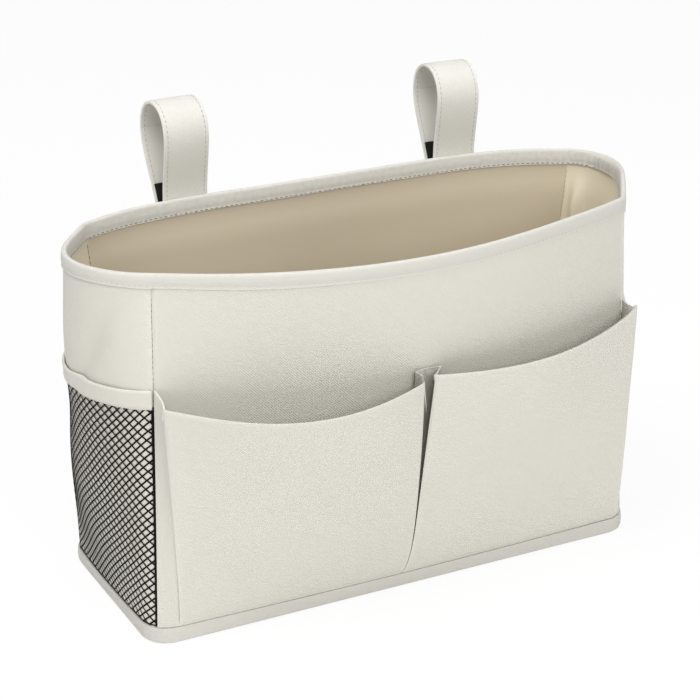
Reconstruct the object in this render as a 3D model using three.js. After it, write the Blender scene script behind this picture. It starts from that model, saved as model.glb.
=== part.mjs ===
// Bedside caddy: a soft, open-topped cloth box with two pleated front pockets, a net pocket on
// each side and two hook-and-loop straps that hang it on a bed rail.
// Millimetres, +Z up. The front faces -Y. The origin is the centre of the underside.

import * as THREE from 'three';

// Cut sizes of the box
const baseWidth = 300;
const baseDepth = 120;
const baseCornerRadius = 14;
const wallHeight = 212;

// How the soft rim stands compared with the base
const frontSeamDrawIn = 5.5;
const frontSeamLean = 7;
const frontSkew = 4;
const backSeamSpread = 3;
const backSeamLean = 38;
const frontBow = 37;
const backBow = 17;
const backCornerReach = 39;
const leftBulge = 25;
const rightBulge = 14;
const earlyBulge = 0.35;

// Layers of a wall, from the outside in
const clothThickness = 0.8;
const coreThickness = 1.8;
const liningThickness = 0.6;
const baseBoardThickness = 2;

// Tape that binds the rim and the base seam
const tapeThickness = 0.8;
const rimTapeDrop = 11;
const baseTapeRise = 10;
const baseTapeUnderlap = 8;

// Clearances between sewn pieces
const layerGap = 0.3;
const seamGap = 0.3;
const baseBoardGap = 1;

// Net pockets on the two sides
const netTopRise = 137;
const netBandHeight = 11;
const netBandThickness = 1.6;
const netThickness = 0.9;
const netStandoff = 1.1;
const netSlack = 6;
const netColumns = 7;
const netRows = 8;
const netStrandWidth = 1.7;

// Front pockets
const leftPocketTopRise = 144;
const rightPocketTopRise = 147;
const pocketSeamRise = 148;
const pocketMouthSag = 4;
const pocketCornerDepth = 14;
const pocketCentreDepth = 8;
const leftPocketBulge = 19;
const rightPocketBulge = 5;
const gussetTopReach = 6;
const gussetFootReach = 12;
const gussetSeamInset = 0.5;
const pleatCentre = -3.5;
const pleatMouthWidth = 6;
const pleatFootWidth = 1;
const pleatFloorWidth = 15;
const pleatFootRise = 55;
const pleatLegTuck = 1;

// Hanging straps on the back
const strapSpacing = 160;
const strapCentre = -2;
const strapWidth = 26;
const strapThickness = 1.6;
const strapFootRise = 150;
const strapUpright = 36;
const strapLoopRadius = 16;
const strapMergeRise = 186;
const strapLoopDrape = 22;
const tapeWidth = 20;
const loopTapeThickness = 1;
const hookTapeThickness = 1;
const loopTapeLength = 44;
const hookTapeLength = 68;
const tapeEndInset = 3;

// Facets
const longWallSteps = 16;
const sideWallSteps = 10;
const riseSteps = 6;
const pocketSteps = 12;
const gussetSteps = 4;
const strapSteps = 7;

const wallThickness = clothThickness + layerGap + coreThickness + layerGap + liningThickness;
const bindingReach = layerGap + tapeThickness;
const floorRise = tapeThickness + layerGap;

const outerCloth = { color: 0xe4e1d7, roughness: 0.9, metalness: 0 };
const liningCloth = { color: 0xb1a691, roughness: 0.6, metalness: 0 };
const blackTape = { color: 0x16170e, roughness: 0.95, metalness: 0 };
const boardGrey = { color: 0x8d8a82, roughness: 0.9, metalness: 0 };

const caddy = new THREE.Group();

function addPiece(name, geometry, look, parent = caddy) {
  const mesh = new THREE.Mesh(geometry, new THREE.MeshStandardMaterial(look));
  mesh.name = name;
  parent.add(mesh);
}

// Closed solids from points and faces

function solidFrom(points, triangles) {
  const corner = new THREE.Vector3();
  let volume = 0;
  for (const [a, b, c] of triangles) {
    volume += points[a].dot(corner.crossVectors(points[b], points[c]));
  }
  const outward = volume > 0 ? triangles : triangles.map(([a, b, c]) => [a, c, b]);
  const geometry = new THREE.BufferGeometry().setFromPoints(points);
  geometry.setIndex(outward.flat());
  geometry.computeVertexNormals();
  return geometry;
}

// A sheet with two sides: outer and inner give the point at row i and column j of each side.
function thickSheet(rows, columns, outer, inner) {
  const points = [];
  const triangles = [];
  const across = columns + 1;
  const sideCount = (rows + 1) * across;
  for (const side of [outer, inner]) {
    for (let i = 0; i <= rows; i++) {
      for (let j = 0; j <= columns; j++) {
        points.push(side(i, j));
      }
    }
  }
  const quad = (a, b, c, d) => triangles.push([a, b, c], [a, c, d]);
  for (let i = 0; i < rows; i++) {
    for (let j = 0; j < columns; j++) {
      const k = i * across + j;
      quad(k, k + 1, k + across + 1, k + across);
      quad(sideCount + k, sideCount + k + across, sideCount + k + across + 1, sideCount + k + 1);
    }
  }
  const rim = [];
  for (let j = 0; j < columns; j++) rim.push(j);
  for (let i = 0; i < rows; i++) rim.push(i * across + columns);
  for (let j = columns; j > 0; j--) rim.push(rows * across + j);
  for (let i = rows; i > 0; i--) rim.push(i * across);
  rim.forEach((from, n) => {
    const to = rim[(n + 1) % rim.length];
    quad(to, from, sideCount + from, sideCount + to);
  });
  return solidFrom(points, triangles);
}

// A section carried once round the box and closed on itself.
function closedRing(turns, sectionAt) {
  const sections = turns.map(sectionAt);
  const size = sections[0].length;
  const triangles = [];
  for (let i = 0; i < sections.length; i++) {
    const next = (i + 1) % sections.length;
    for (let j = 0; j < size; j++) {
      const k = (j + 1) % size;
      triangles.push([i * size + j, i * size + k, next * size + k]);
      triangles.push([i * size + j, next * size + k, next * size + j]);
    }
  }
  return solidFrom(sections.flat(), triangles);
}

// The skin of the box

// Outline of the base, one curve for each wall from seam to seam: front, right, back, left.
function baseOutline() {
  const x = baseWidth / 2 - baseCornerRadius;
  const y = baseDepth / 2 - baseCornerRadius;
  const corners = [[-x, -y], [x, -y], [x, y], [-x, y]];
  return corners.map(([startX, startY], wall) => {
    const [endX, endY] = corners[(wall + 1) % corners.length];
    const square = -Math.PI / 2 + wall * Math.PI / 2;
    const path = new THREE.Path();
    path.absarc(startX, startY, baseCornerRadius, square - Math.PI / 4, square);
    path.absarc(endX, endY, baseCornerRadius, square, square + Math.PI / 4);
    return path;
  });
}

// Outline of the open rim in the same order.
function rimOutline() {
  const seamCut = baseCornerRadius * (1 - Math.SQRT1_2);
  const seamX = baseWidth / 2 - seamCut;
  const seamY = baseDepth / 2 - seamCut;
  const frontX = seamX - frontSeamDrawIn;
  const frontY = -seamY - frontSeamLean;
  const backX = seamX + backSeamSpread;
  const backY = seamY - backSeamLean;
  const frontLeft = new THREE.Vector2(-frontX - frontSkew, frontY);
  const frontRight = new THREE.Vector2(frontX - frontSkew, frontY);
  const backRight = new THREE.Vector2(backX, backY);
  const backLeft = new THREE.Vector2(-backX, backY);
  const bowed = (from, to, bow) => {
    const pull = from.clone().add(to).multiplyScalar(0.5).addScaledVector(bow, 2);
    return new THREE.QuadraticBezierCurve(from, pull, to);
  };
  const pullY = backY + backBow * 4 / 3;
  const pullX = backX - backCornerReach;
  const back = new THREE.CubicBezierCurve(
    backRight, new THREE.Vector2(pullX, pullY), new THREE.Vector2(-pullX, pullY), backLeft,
  );
  return [
    bowed(frontLeft, frontRight, new THREE.Vector2(0, -frontBow)),
    bowed(frontRight, backRight, new THREE.Vector2(rightBulge, 0)),
    back,
    bowed(backLeft, frontLeft, new THREE.Vector2(-leftBulge, 0)),
  ];
}

const baseCurves = baseOutline();
const rimCurves = rimOutline();
const wallLength = baseCurves.map((curve) => curve.getLength());
const wallNames = ['front', 'right', 'back', 'left'];
const [frontWall, rightWall, backWall, leftWall] = wallNames.keys();
const normalReach = 0.02;

// A point on the outer skin. The whole part of turn picks the wall and the rest is the share of
// its width; rise is measured up the cloth, which keeps its length as it leans.
function skinPoint(turn, rise) {
  const lap = THREE.MathUtils.euclideanModulo(turn, 4);
  const wall = Math.floor(lap);
  const base = baseCurves[wall].getPoint(lap - wall);
  const lean = rimCurves[wall].getPointAt(lap - wall).sub(base);
  const share = rise / wallHeight;
  const swing = share * (1 + earlyBulge - earlyBulge * share);
  const height = Math.sqrt(wallHeight ** 2 - lean.lengthSq());
  return new THREE.Vector3(base.x + lean.x * swing, base.y + lean.y * swing, height * share);
}

function skinNormal(turn, rise) {
  const along = skinPoint(turn + normalReach, rise).sub(skinPoint(turn - normalReach, rise));
  return new THREE.Vector3(along.y, -along.x, 0).normalize();
}

// A point off the skin: outward is the level distance out from the cloth's face.
function wallPoint(turn, rise, outward) {
  return skinPoint(turn, rise).addScaledVector(skinNormal(turn, rise), outward);
}

// Stations from one turn to another, closer together at the two ends.
function endSpaced(from, to, steps) {
  return Array.from({ length: steps + 1 }, (_, i) => {
    const share = (1 - Math.cos(Math.PI * i / steps)) / 2;
    return THREE.MathUtils.lerp(from, to, share);
  });
}

function stepsOf(wall) {
  return wall === frontWall || wall === backWall ? longWallSteps : sideWallSteps;
}

function seamToSeam(wall) {
  const trim = seamGap / 2 / wallLength[wall];
  return endSpaced(wall + trim, wall + 1 - trim, stepsOf(wall));
}

const allRound = wallLength.flatMap((_, wall) => endSpaced(wall, wall + 1, stepsOf(wall)).slice(1));

// Walls, cores and linings

function wallLayer(wall, depth, thickness) {
  const turns = seamToSeam(wall);
  const rises = Array.from(
    { length: riseSteps + 1 }, (_, i) => THREE.MathUtils.lerp(floorRise, wallHeight, i / riseSteps),
  );
  return thickSheet(
    riseSteps, turns.length - 1,
    (i, j) => wallPoint(turns[j], rises[i], -depth),
    (i, j) => wallPoint(turns[j], rises[i], -depth - thickness),
  );
}

const coreDepth = clothThickness + layerGap;
const liningDepth = coreDepth + coreThickness + layerGap;
const coreNames = ['front_board', 'right_padding', 'back_board', 'left_padding'];

wallNames.forEach((side, wall) => {
  addPiece(`${side}_wall`, wallLayer(wall, 0, clothThickness), outerCloth);
  addPiece(coreNames[wall], wallLayer(wall, coreDepth, coreThickness), boardGrey);
  addPiece(`${side}_lining`, wallLayer(wall, liningDepth, liningThickness), liningCloth);
});

// Base: cloth underneath, board on it and lining on top

function basePlate(inset, bottom, thickness) {
  const outline = allRound.map((turn) => {
    const point = wallPoint(turn, 0, -inset);
    return new THREE.Vector2(point.x, point.y);
  });
  const settings = { depth: thickness, bevelEnabled: false };
  return new THREE.ExtrudeGeometry(new THREE.Shape(outline), settings).translate(0, 0, bottom);
}

const boardInset = wallThickness + baseBoardGap;
const baseLiningRise = floorRise + baseBoardThickness + layerGap;
addPiece('base_cloth', basePlate(baseTapeUnderlap + layerGap, 0, clothThickness), outerCloth);
addPiece('base_board', basePlate(boardInset, floorRise, baseBoardThickness), boardGrey);
addPiece('base_lining', basePlate(boardInset, baseLiningRise, liningThickness), liningCloth);

// Binding tapes

function rimBindingSection(turn) {
  const foot = wallHeight - rimTapeDrop;
  const under = wallHeight + layerGap;
  const top = under + tapeThickness;
  const inside = -wallThickness - layerGap;
  return [
    wallPoint(turn, foot, bindingReach),
    wallPoint(turn, top, bindingReach),
    wallPoint(turn, top, inside - tapeThickness),
    wallPoint(turn, foot, inside - tapeThickness),
    wallPoint(turn, foot, inside),
    wallPoint(turn, under, inside),
    wallPoint(turn, under, layerGap),
    wallPoint(turn, foot, layerGap),
  ];
}

function baseBindingSection(turn) {
  return [
    wallPoint(turn, 0, bindingReach),
    wallPoint(turn, baseTapeRise, bindingReach),
    wallPoint(turn, baseTapeRise, layerGap),
    wallPoint(turn, tapeThickness, layerGap),
    wallPoint(turn, tapeThickness, -baseTapeUnderlap),
    wallPoint(turn, 0, -baseTapeUnderlap),
  ];
}

addPiece('rim_binding', closedRing(allRound, rimBindingSection), outerCloth);
addPiece('base_binding', closedRing(allRound, baseBindingSection), outerCloth);

// Net pockets

const pocketFootRise = baseTapeRise + layerGap;

// Room behind the net: none at its seams and foot, most at the middle of its mouth.
function netRoom(share, rise) {
  const climb = (rise - pocketFootRise) / (netTopRise - pocketFootRise);
  return netStandoff + netSlack * 4 * share * (1 - share) * climb;
}

function netTurn(wall, share) {
  const trim = seamGap / 2 / wallLength[wall];
  return THREE.MathUtils.lerp(wall + trim, wall + 1 - trim, share);
}

// Diamond net on a grid of half meshes: strands cross where column + row is even and a hole
// is centred where it is odd.
function diamondNet(wall) {
  const lastColumn = netColumns * 2;
  const lastRow = netRows * 2;
  const halfWidth = wallLength[wall] / lastColumn;
  const halfHeight = (netTopRise - pocketFootRise) / lastRow;
  const strandReach = halfWidth * halfHeight / Math.hypot(halfWidth, halfHeight);
  const hole = 1 - netStrandWidth / 2 / strandReach;
  const points = [];
  const triangles = [];
  const known = new Map();
  const pointAt = (column, row, back) => {
    const key = `${column} ${row} ${back}`;
    if (!known.has(key)) {
      const share = column / lastColumn;
      const rise = pocketFootRise + row * halfHeight;
      const outward = netRoom(share, rise) + (back ? 0 : netThickness);
      known.set(key, points.length);
      points.push(wallPoint(netTurn(wall, share), rise, outward));
    }
    return known.get(key);
  };
  const bothSides = (...corners) => {
    const front = corners.map(([column, row]) => pointAt(column, row, false));
    const back = corners.map(([column, row]) => pointAt(column, row, true)).reverse();
    for (const face of [front, back]) {
      for (let i = 2; i < face.length; i++) triangles.push([face[0], face[i - 1], face[i]]);
    }
  };
  const edgeWall = ([fromColumn, fromRow], [toColumn, toRow]) => {
    const a = pointAt(fromColumn, fromRow, false);
    const b = pointAt(toColumn, toRow, false);
    const c = pointAt(toColumn, toRow, true);
    const d = pointAt(fromColumn, fromRow, true);
    triangles.push([b, a, d], [b, d, c]);
  };
  for (let row = 0; row <= lastRow; row++) {
    for (let column = (row + 1) % 2; column <= lastColumn; column += 2) {
      const around = [[1, 0], [0, 1], [-1, 0], [0, -1]];
      const corners = around.map(([dx, dy]) => [column + dx, row + dy]);
      const kept = corners.filter(([x, y]) => x >= 0 && y >= 0 && x <= lastColumn && y <= lastRow);
      if (kept.length < corners.length) {
        const gapAt = corners.findIndex((corner) => !kept.includes(corner));
        const turned = [1, 2, 3].map((step) => corners[(gapAt + step) % corners.length]);
        bothSides([column, row], turned[0], turned[1]);
        bothSides([column, row], turned[1], turned[2]);
        edgeWall(turned[2], [column, row]);
        edgeWall([column, row], turned[0]);
      } else {
        const holes = around.map(([dx, dy]) => [column + dx * hole, row + dy * hole]);
        corners.forEach((corner, n) => {
          const next = (n + 1) % corners.length;
          bothSides(corner, corners[next], holes[next], holes[n]);
          edgeWall(holes[next], holes[n]);
        });
      }
    }
  }
  return solidFrom(points, triangles);
}

function netBand(wall) {
  const foot = netTopRise + layerGap;
  const top = netTopRise + netBandHeight;
  const turnAt = (j) => netTurn(wall, j / sideWallSteps);
  const riseAt = (i) => (i ? top : foot);
  const room = (i, j) => netRoom(j / sideWallSteps, riseAt(i));
  return thickSheet(
    1, sideWallSteps,
    (i, j) => wallPoint(turnAt(j), riseAt(i), room(i, j) + netBandThickness),
    (i, j) => wallPoint(turnAt(j), riseAt(i), room(i, j)),
  );
}

for (const [side, wall] of [['left', leftWall], ['right', rightWall]]) {
  addPiece(`${side}_net`, diamondNet(wall), blackTape);
  addPiece(`${side}_net_band`, netBand(wall), outerCloth);
}

// Front pockets

const pocketFootDepth = (clothThickness + layerGap) * 2;
const pocketSides = [
  {
    side: 'left',
    bulge: leftPocketBulge,
    topRise: leftPocketTopRise,
    halfWidth: wallLength[frontWall] / 2 + pleatCentre,
    turnFrom: (reach) => reach / wallLength[frontWall],
  },
  {
    side: 'right',
    bulge: rightPocketBulge,
    topRise: rightPocketTopRise,
    halfWidth: wallLength[frontWall] / 2 - pleatCentre,
    turnFrom: (reach) => 1 - reach / wallLength[frontWall],
  },
];

function pleatWidth(climb) {
  return THREE.MathUtils.lerp(pleatFootWidth, pleatMouthWidth, climb ** 2);
}

// Distance along the front wall from the corner seam to the pocket's outer fold.
function cornerFold(climb) {
  return THREE.MathUtils.lerp(gussetFootReach, gussetTopReach, climb);
}

// Distance of the pocket's outer face from the wall; share runs from the corner to the centre.
function pocketDepth(bulge, share, climb) {
  const straight = THREE.MathUtils.lerp(pocketCornerDepth, pocketCentreDepth, share);
  return pocketFootDepth + climb * (straight + bulge * Math.sin(Math.PI * share));
}

function pocketRise(topRise, share, climb) {
  const top = topRise - pocketMouthSag * Math.sin(Math.PI * share);
  return THREE.MathUtils.lerp(pocketFootRise, top, climb);
}

function pocketFace({ bulge, topRise, halfWidth, turnFrom }) {
  const shares = endSpaced(0, 1, pocketSteps);
  const facePoint = (i, j, behind) => {
    const climb = i / riseSteps;
    const share = shares[j];
    const end = halfWidth - pleatWidth(climb) / 2;
    const reach = THREE.MathUtils.lerp(cornerFold(climb), end, share);
    const outward = pocketDepth(bulge, share, climb) - behind;
    return wallPoint(turnFrom(reach), pocketRise(topRise, share, climb), outward);
  };
  return thickSheet(
    riseSteps, pocketSteps,
    (i, j) => facePoint(i, j, 0),
    (i, j) => facePoint(i, j, clothThickness),
  );
}

// The folded strip between the corner seam and the pocket's outer fold.
function pocketGusset({ bulge, topRise, turnFrom }) {
  const ends = (climb) => {
    const outer = pocketDepth(bulge, 0, climb) - clothThickness - layerGap;
    const seam = new THREE.Vector2(gussetSeamInset, clothThickness + layerGap);
    return [seam, new THREE.Vector2(cornerFold(climb), outer)];
  };
  const gussetPoint = (i, j, thickness) => {
    const climb = i / riseSteps;
    const [seam, fold] = ends(climb);
    const along = fold.clone().sub(seam).normalize();
    const place = seam.clone().lerp(fold, j / gussetSteps);
    const reach = place.x + along.y * thickness;
    const outward = place.y - along.x * thickness;
    const top = THREE.MathUtils.lerp(pocketSeamRise, topRise, j / gussetSteps);
    return wallPoint(turnFrom(reach), THREE.MathUtils.lerp(pocketFootRise, top, climb), outward);
  };
  return thickSheet(
    riseSteps, gussetSteps,
    (i, j) => gussetPoint(i, j, 0),
    (i, j) => gussetPoint(i, j, clothThickness),
  );
}

// The inverted pleat between the two pockets: two legs and a floor on the wall.
function centrePleat() {
  const firstClimb = (pleatFootRise - pocketFootRise) / (leftPocketTopRise - pocketFootRise);
  const pleatPoint = (i, j, spread) => {
    const climb = THREE.MathUtils.lerp(firstClimb, 1, i / riseSteps);
    const mouth = pleatWidth(climb) / 2 + pleatLegTuck;
    const floor = THREE.MathUtils.lerp(mouth, pleatFloorWidth / 2, climb);
    const legTop = pocketDepth(0, 1, climb) - clothThickness - layerGap;
    const across = [-mouth - spread, -floor - spread, floor + spread, mouth + spread][j];
    const onFloor = j === 1 || j === 2;
    const outward = onFloor ? layerGap + clothThickness - spread : legTop;
    const turn = 0.5 + (pleatCentre + across) / wallLength[frontWall];
    return wallPoint(turn, pocketRise(leftPocketTopRise, 1, climb), outward);
  };
  return thickSheet(
    riseSteps, 3,
    (i, j) => pleatPoint(i, j, 0),
    (i, j) => pleatPoint(i, j, clothThickness),
  );
}

for (const pocket of pocketSides) {
  addPiece(`${pocket.side}_pocket_face`, pocketFace(pocket), outerCloth);
  addPiece(`${pocket.side}_pocket_gusset`, pocketGusset(pocket), outerCloth);
}
addPiece('centre_pleat', centrePleat(), outerCloth);

// Hanging straps

const strapOffset = bindingReach + layerGap + strapThickness / 2;
const loopTapeOffset = strapOffset + strapThickness / 2 + layerGap + loopTapeThickness / 2;
const hookTapeOffset = loopTapeOffset + (loopTapeThickness + hookTapeThickness) / 2 + layerGap;
const tailOffset = hookTapeOffset + (hookTapeThickness + strapThickness) / 2 + layerGap;

// A strip of tape that follows a side view, a list of (outward, height) points.
function tapeStrip(sideView, width, thickness, offset = 0) {
  const sideNormals = sideView.map((_, i) => {
    const before = sideView[Math.max(i - 1, 0)];
    const after = sideView[Math.min(i + 1, sideView.length - 1)];
    return new THREE.Vector2(before.y - after.y, after.x - before.x).normalize();
  });
  const stripPoint = (i, j, lift) => {
    const place = sideView[i].clone().addScaledVector(sideNormals[i], lift);
    return new THREE.Vector3((j - 0.5) * width, place.x, place.y);
  };
  return thickSheet(
    sideView.length - 1, 1,
    (i, j) => stripPoint(i, j, offset + thickness / 2),
    (i, j) => stripPoint(i, j, offset - thickness / 2),
  );
}

// The stretch of a side view between two lengths along it, with the bends that lie between them.
function stretch(sideView, from, to) {
  const kept = [];
  let start = 0;
  for (let i = 1; i < sideView.length; i++) {
    const step = sideView[i].distanceTo(sideView[i - 1]);
    const end = start + step;
    const pointAt = (length) => sideView[i - 1].clone().lerp(sideView[i], (length - start) / step);
    if (from >= start && from < end) kept.push(pointAt(from));
    if (to > start && to <= end) kept.push(pointAt(to));
    else if (end > from && end < to) kept.push(sideView[i]);
    start = end;
  }
  return kept;
}

function viewLength(sideView) {
  return sideView.slice(1).reduce((sum, point, i) => sum + point.distanceTo(sideView[i]), 0);
}

function hangingStrap(side, turn) {
  const rim = skinPoint(turn, wallHeight);
  const outward = skinNormal(turn, wallHeight);
  const frame = new THREE.Group();
  frame.position.set(rim.x, rim.y, 0);
  frame.rotation.z = Math.atan2(-outward.x, outward.y);
  caddy.add(frame);

  const besideWall = (rise, offset) => {
    const place = skinPoint(turn, rise);
    return new THREE.Vector2(place.clone().sub(rim).dot(outward) + offset, place.z);
  };
  const springing = rim.z + strapUpright;
  const crown = new THREE.Vector2(strapOffset + strapLoopRadius, springing);
  const crest = (from, to) => {
    const arc = new THREE.EllipseCurve(
      crown.x, crown.y, strapLoopRadius, strapLoopRadius, from, to, true,
    );
    return arc.getPoints(strapSteps);
  };
  const crestTrim = seamGap / 2 / strapLoopRadius;
  const merge = besideWall(strapMergeRise, tailOffset);
  const tailEnd = besideWall(strapFootRise, tailOffset);
  const down = merge.clone().sub(tailEnd).normalize();
  const drape = new THREE.CubicBezierCurve(
    new THREE.Vector2(crown.x + strapLoopRadius, crown.y),
    new THREE.Vector2(crown.x + strapLoopRadius, crown.y - strapLoopDrape),
    merge.clone().addScaledVector(down, strapLoopDrape),
    merge,
  );
  const legView = [
    besideWall(strapFootRise, strapOffset),
    besideWall(wallHeight, strapOffset),
    ...crest(Math.PI, Math.PI / 2 + crestTrim),
  ];
  const tailView = [
    ...crest(Math.PI / 2 - crestTrim, 0),
    ...drape.getPoints(strapSteps).slice(1),
    tailEnd,
  ];
  const footView = [besideWall(strapFootRise, 0), besideWall(wallHeight, 0)];
  const loopTapeView = stretch(footView, tapeEndInset, tapeEndInset + loopTapeLength);
  const tailLength = viewLength(tailView);
  const hookTapeView = stretch(tailView, tailLength - hookTapeLength, tailLength - tapeEndInset);
  const hookTapeInside = -(strapThickness + hookTapeThickness) / 2 - layerGap;

  addPiece(`${side}_strap`, tapeStrip(legView, strapWidth, strapThickness), outerCloth, frame);
  addPiece(`${side}_strap_tail`, tapeStrip(tailView, strapWidth, strapThickness), outerCloth, frame);
  addPiece(
    `${side}_loop_tape`, tapeStrip(loopTapeView, tapeWidth, loopTapeThickness, -loopTapeOffset),
    blackTape, frame,
  );
  addPiece(
    `${side}_hook_tape`, tapeStrip(hookTapeView, tapeWidth, hookTapeThickness, hookTapeInside),
    blackTape, frame,
  );
}

for (const [side, way] of [['left', -1], ['right', 1]]) {
  const across = strapCentre + way * strapSpacing / 2;
  hangingStrap(side, backWall + 0.5 - across / wallLength[backWall]);
}

export default caddy;
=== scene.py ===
import bpy
import numpy as np
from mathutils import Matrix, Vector


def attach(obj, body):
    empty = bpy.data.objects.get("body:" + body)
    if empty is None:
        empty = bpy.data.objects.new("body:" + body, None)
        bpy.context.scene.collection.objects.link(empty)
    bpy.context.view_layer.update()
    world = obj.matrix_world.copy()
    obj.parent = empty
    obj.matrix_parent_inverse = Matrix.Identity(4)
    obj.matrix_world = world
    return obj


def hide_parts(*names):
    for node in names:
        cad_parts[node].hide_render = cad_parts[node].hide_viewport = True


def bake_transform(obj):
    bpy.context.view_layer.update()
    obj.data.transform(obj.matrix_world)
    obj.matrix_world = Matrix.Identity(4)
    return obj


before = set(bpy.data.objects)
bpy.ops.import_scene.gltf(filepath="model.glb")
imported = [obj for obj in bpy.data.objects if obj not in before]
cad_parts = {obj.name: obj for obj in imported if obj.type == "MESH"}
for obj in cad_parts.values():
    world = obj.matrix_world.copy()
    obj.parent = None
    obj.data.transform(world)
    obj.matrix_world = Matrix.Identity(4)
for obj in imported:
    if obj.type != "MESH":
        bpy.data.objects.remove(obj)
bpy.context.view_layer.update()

mm = 0.001
scene = bpy.context.scene
scene.view_settings.view_transform = "Standard"


# camera at the photograph's angle
photoView = {
    "place": (-0.47344, -0.91907, 0.54626),
    "aim": (-0.002956, 0.0, 0.120066),
    "lens": 102.857,
    "sensor": 36.0,
    "nearest": 0.01,
}


def facing(place, aim):
    return (Vector(aim) - Vector(place)).to_track_quat("-Z", "Y").to_euler()


bpy.ops.object.camera_add(location=photoView["place"])
camera = bpy.context.object
camera.name = "photoCamera"
camera.data.lens = photoView["lens"]
camera.data.sensor_width = photoView["sensor"]
camera.data.clip_start = photoView["nearest"]
camera.rotation_euler = facing(photoView["place"], photoView["aim"])
scene.camera = camera
print("camera set")


# nodes of a material, by kind, with plain values or links as inputs
def addNode(tree, kind, inputs=None, **settings):
    made = tree.nodes.new("ShaderNode" + kind)
    for key, value in settings.items():
        setattr(made, key, value)
    for key, value in (inputs or {}).items():
        if isinstance(value, bpy.types.NodeSocket):
            tree.links.new(value, made.inputs[key])
        else:
            made.inputs[key].default_value = value
    return made


def sums(tree, operation, first, second=0.0, third=0.0):
    return addNode(tree, "Math", {0: first, 1: second, 2: third}, operation=operation).outputs[0]


def blendColours(tree, share, first, second):
    return addNode(tree, "Mix", {0: share, 6: first, 7: second}, data_type="RGBA").outputs[2]


# a display colour, each part from 0 to 255, as a shader takes it
def linear(red, green, blue):
    def one(value):
        value /= 255
        return value / 12.92 if value <= 0.04045 else ((value + 0.055) / 1.055) ** 2.4
    return one(red), one(green), one(blue), 1.0


def emptyTree(owner):
    owner.use_nodes = True
    owner.node_tree.nodes.clear()
    return owner.node_tree


def emptyMaterial(name):
    material = bpy.data.materials.new(name)
    tree = emptyTree(material)
    surface = addNode(tree, "BsdfPrincipled")
    output = addNode(tree, "OutputMaterial")
    tree.links.new(surface.outputs[0], output.inputs[0])
    return material, tree, surface


# floor, background and lamps
studio = {
    "floorSize": 5.0,
    "floorDrop": 0.0002,
    "floorColour": (0.93, 0.93, 0.92, 1.0),
    "white": (1.0, 1.0, 1.0, 1.0),
    "floorWhite": 0.9,      # share of plain white that the camera sees over the shadow
    "ambient": 0.5,
    "lamps": (
        # name, place, aim, size, watts
        ("frontLamp", (-0.2, -1.9, 1.45), (0.0, 0.0, 0.1), 1.3, 29.5),
        ("leftLamp", (-1.1, -0.4, 2.1), (0.0, 0.0, 0.1), 1.0, 16.0),
        ("topLamp", (-0.4, 0.0, 2.0), (0.0, 0.0, 0.1), 1.4, 8.0),
    ),
}


def seenByEye(tree):
    path = addNode(tree, "LightPath")
    eye = sums(tree, "MAXIMUM", path.outputs["Is Camera Ray"], path.outputs["Is Glossy Ray"])
    return sums(tree, "MAXIMUM", eye, path.outputs["Is Transmission Ray"])


def makeStudio():
    bpy.ops.object.select_all(action="DESELECT")
    bpy.ops.mesh.primitive_plane_add(size=studio["floorSize"], location=(0, 0, -studio["floorDrop"]))
    floor = bpy.context.object
    floor.name = "studioFloor"
    material = bpy.data.materials.new("studioFloor")
    tree = emptyTree(material)
    matt = addNode(tree, "BsdfDiffuse", {"Color": studio["floorColour"]})
    white = addNode(tree, "Emission", {"Strength": 1.0})
    share = sums(tree, "MULTIPLY", seenByEye(tree), studio["floorWhite"])
    both = addNode(tree, "MixShader", {0: share, 1: matt.outputs[0], 2: white.outputs[0]})
    addNode(tree, "OutputMaterial", {0: both.outputs[0]})
    floor.data.materials.append(material)

    world = bpy.data.worlds.new("studioWorld")
    scene.world = world
    tree = emptyTree(world)
    soft = addNode(tree, "Background", {"Color": studio["white"], "Strength": studio["ambient"]})
    white = addNode(tree, "Background", {"Color": studio["white"], "Strength": 1.0})
    both = addNode(tree, "MixShader", {0: seenByEye(tree), 1: soft.outputs[0], 2: white.outputs[0]})
    addNode(tree, "OutputWorld", {0: both.outputs[0]})

    for name, place, aim, size, watts in studio["lamps"]:
        bpy.ops.object.light_add(type="AREA", location=place)
        lamp = bpy.context.object
        lamp.name = name
        lamp.data.size = size
        lamp.data.energy = watts
        lamp.rotation_euler = facing(place, aim)


makeStudio()
print("studio set")


# cloth finishes: threads run along the flat cloth, which the map named cloth keeps in metres
weave = {
    "driftScale": 90.0, "drift": 2.2, "twillStep": 3.0, "slubScale": 1500.0, "slub": 0.8,
    "patchScale": 22.0, "grainScale": 420.0, "hollowGloss": -0.06, "sheenRoughness": 0.45,
}


def weaveHeight(tree, pitch, diagonal):
    flat = addNode(tree, "UVMap", uv_map="cloth")
    shift = addNode(
        tree, "TexNoise", {"Vector": flat.outputs[0], "Scale": weave["driftScale"], "Detail": 2.0},
    )
    split = addNode(tree, "SeparateXYZ", {0: flat.outputs[0]})
    turn = 2 * np.pi / (pitch * mm)
    wander = sums(tree, "MULTIPLY", shift.outputs["Fac"], weave["drift"])
    warpTurn = sums(tree, "MULTIPLY_ADD", split.outputs[0], turn, wander)
    weftTurn = sums(tree, "MULTIPLY_ADD", split.outputs[1], turn, wander)
    warp = sums(tree, "SINE", warpTurn)
    weft = sums(tree, "SINE", weftTurn)
    threads = sums(tree, "MULTIPLY", warp, weft)
    twillTurn = sums(tree, "DIVIDE", sums(tree, "ADD", warpTurn, weftTurn), weave["twillStep"])
    ridge = sums(tree, "SINE", twillTurn)
    slub = addNode(
        tree, "TexNoise", {"Vector": flat.outputs[0], "Scale": weave["slubScale"], "Detail": 1.0},
    )
    rough = sums(tree, "MULTIPLY_ADD", slub.outputs["Fac"], weave["slub"], -weave["slub"] / 2)
    height = sums(tree, "MULTIPLY_ADD", threads, 1.0 - diagonal, rough)
    return flat, sums(tree, "MULTIPLY_ADD", ridge, diagonal, height)


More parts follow.
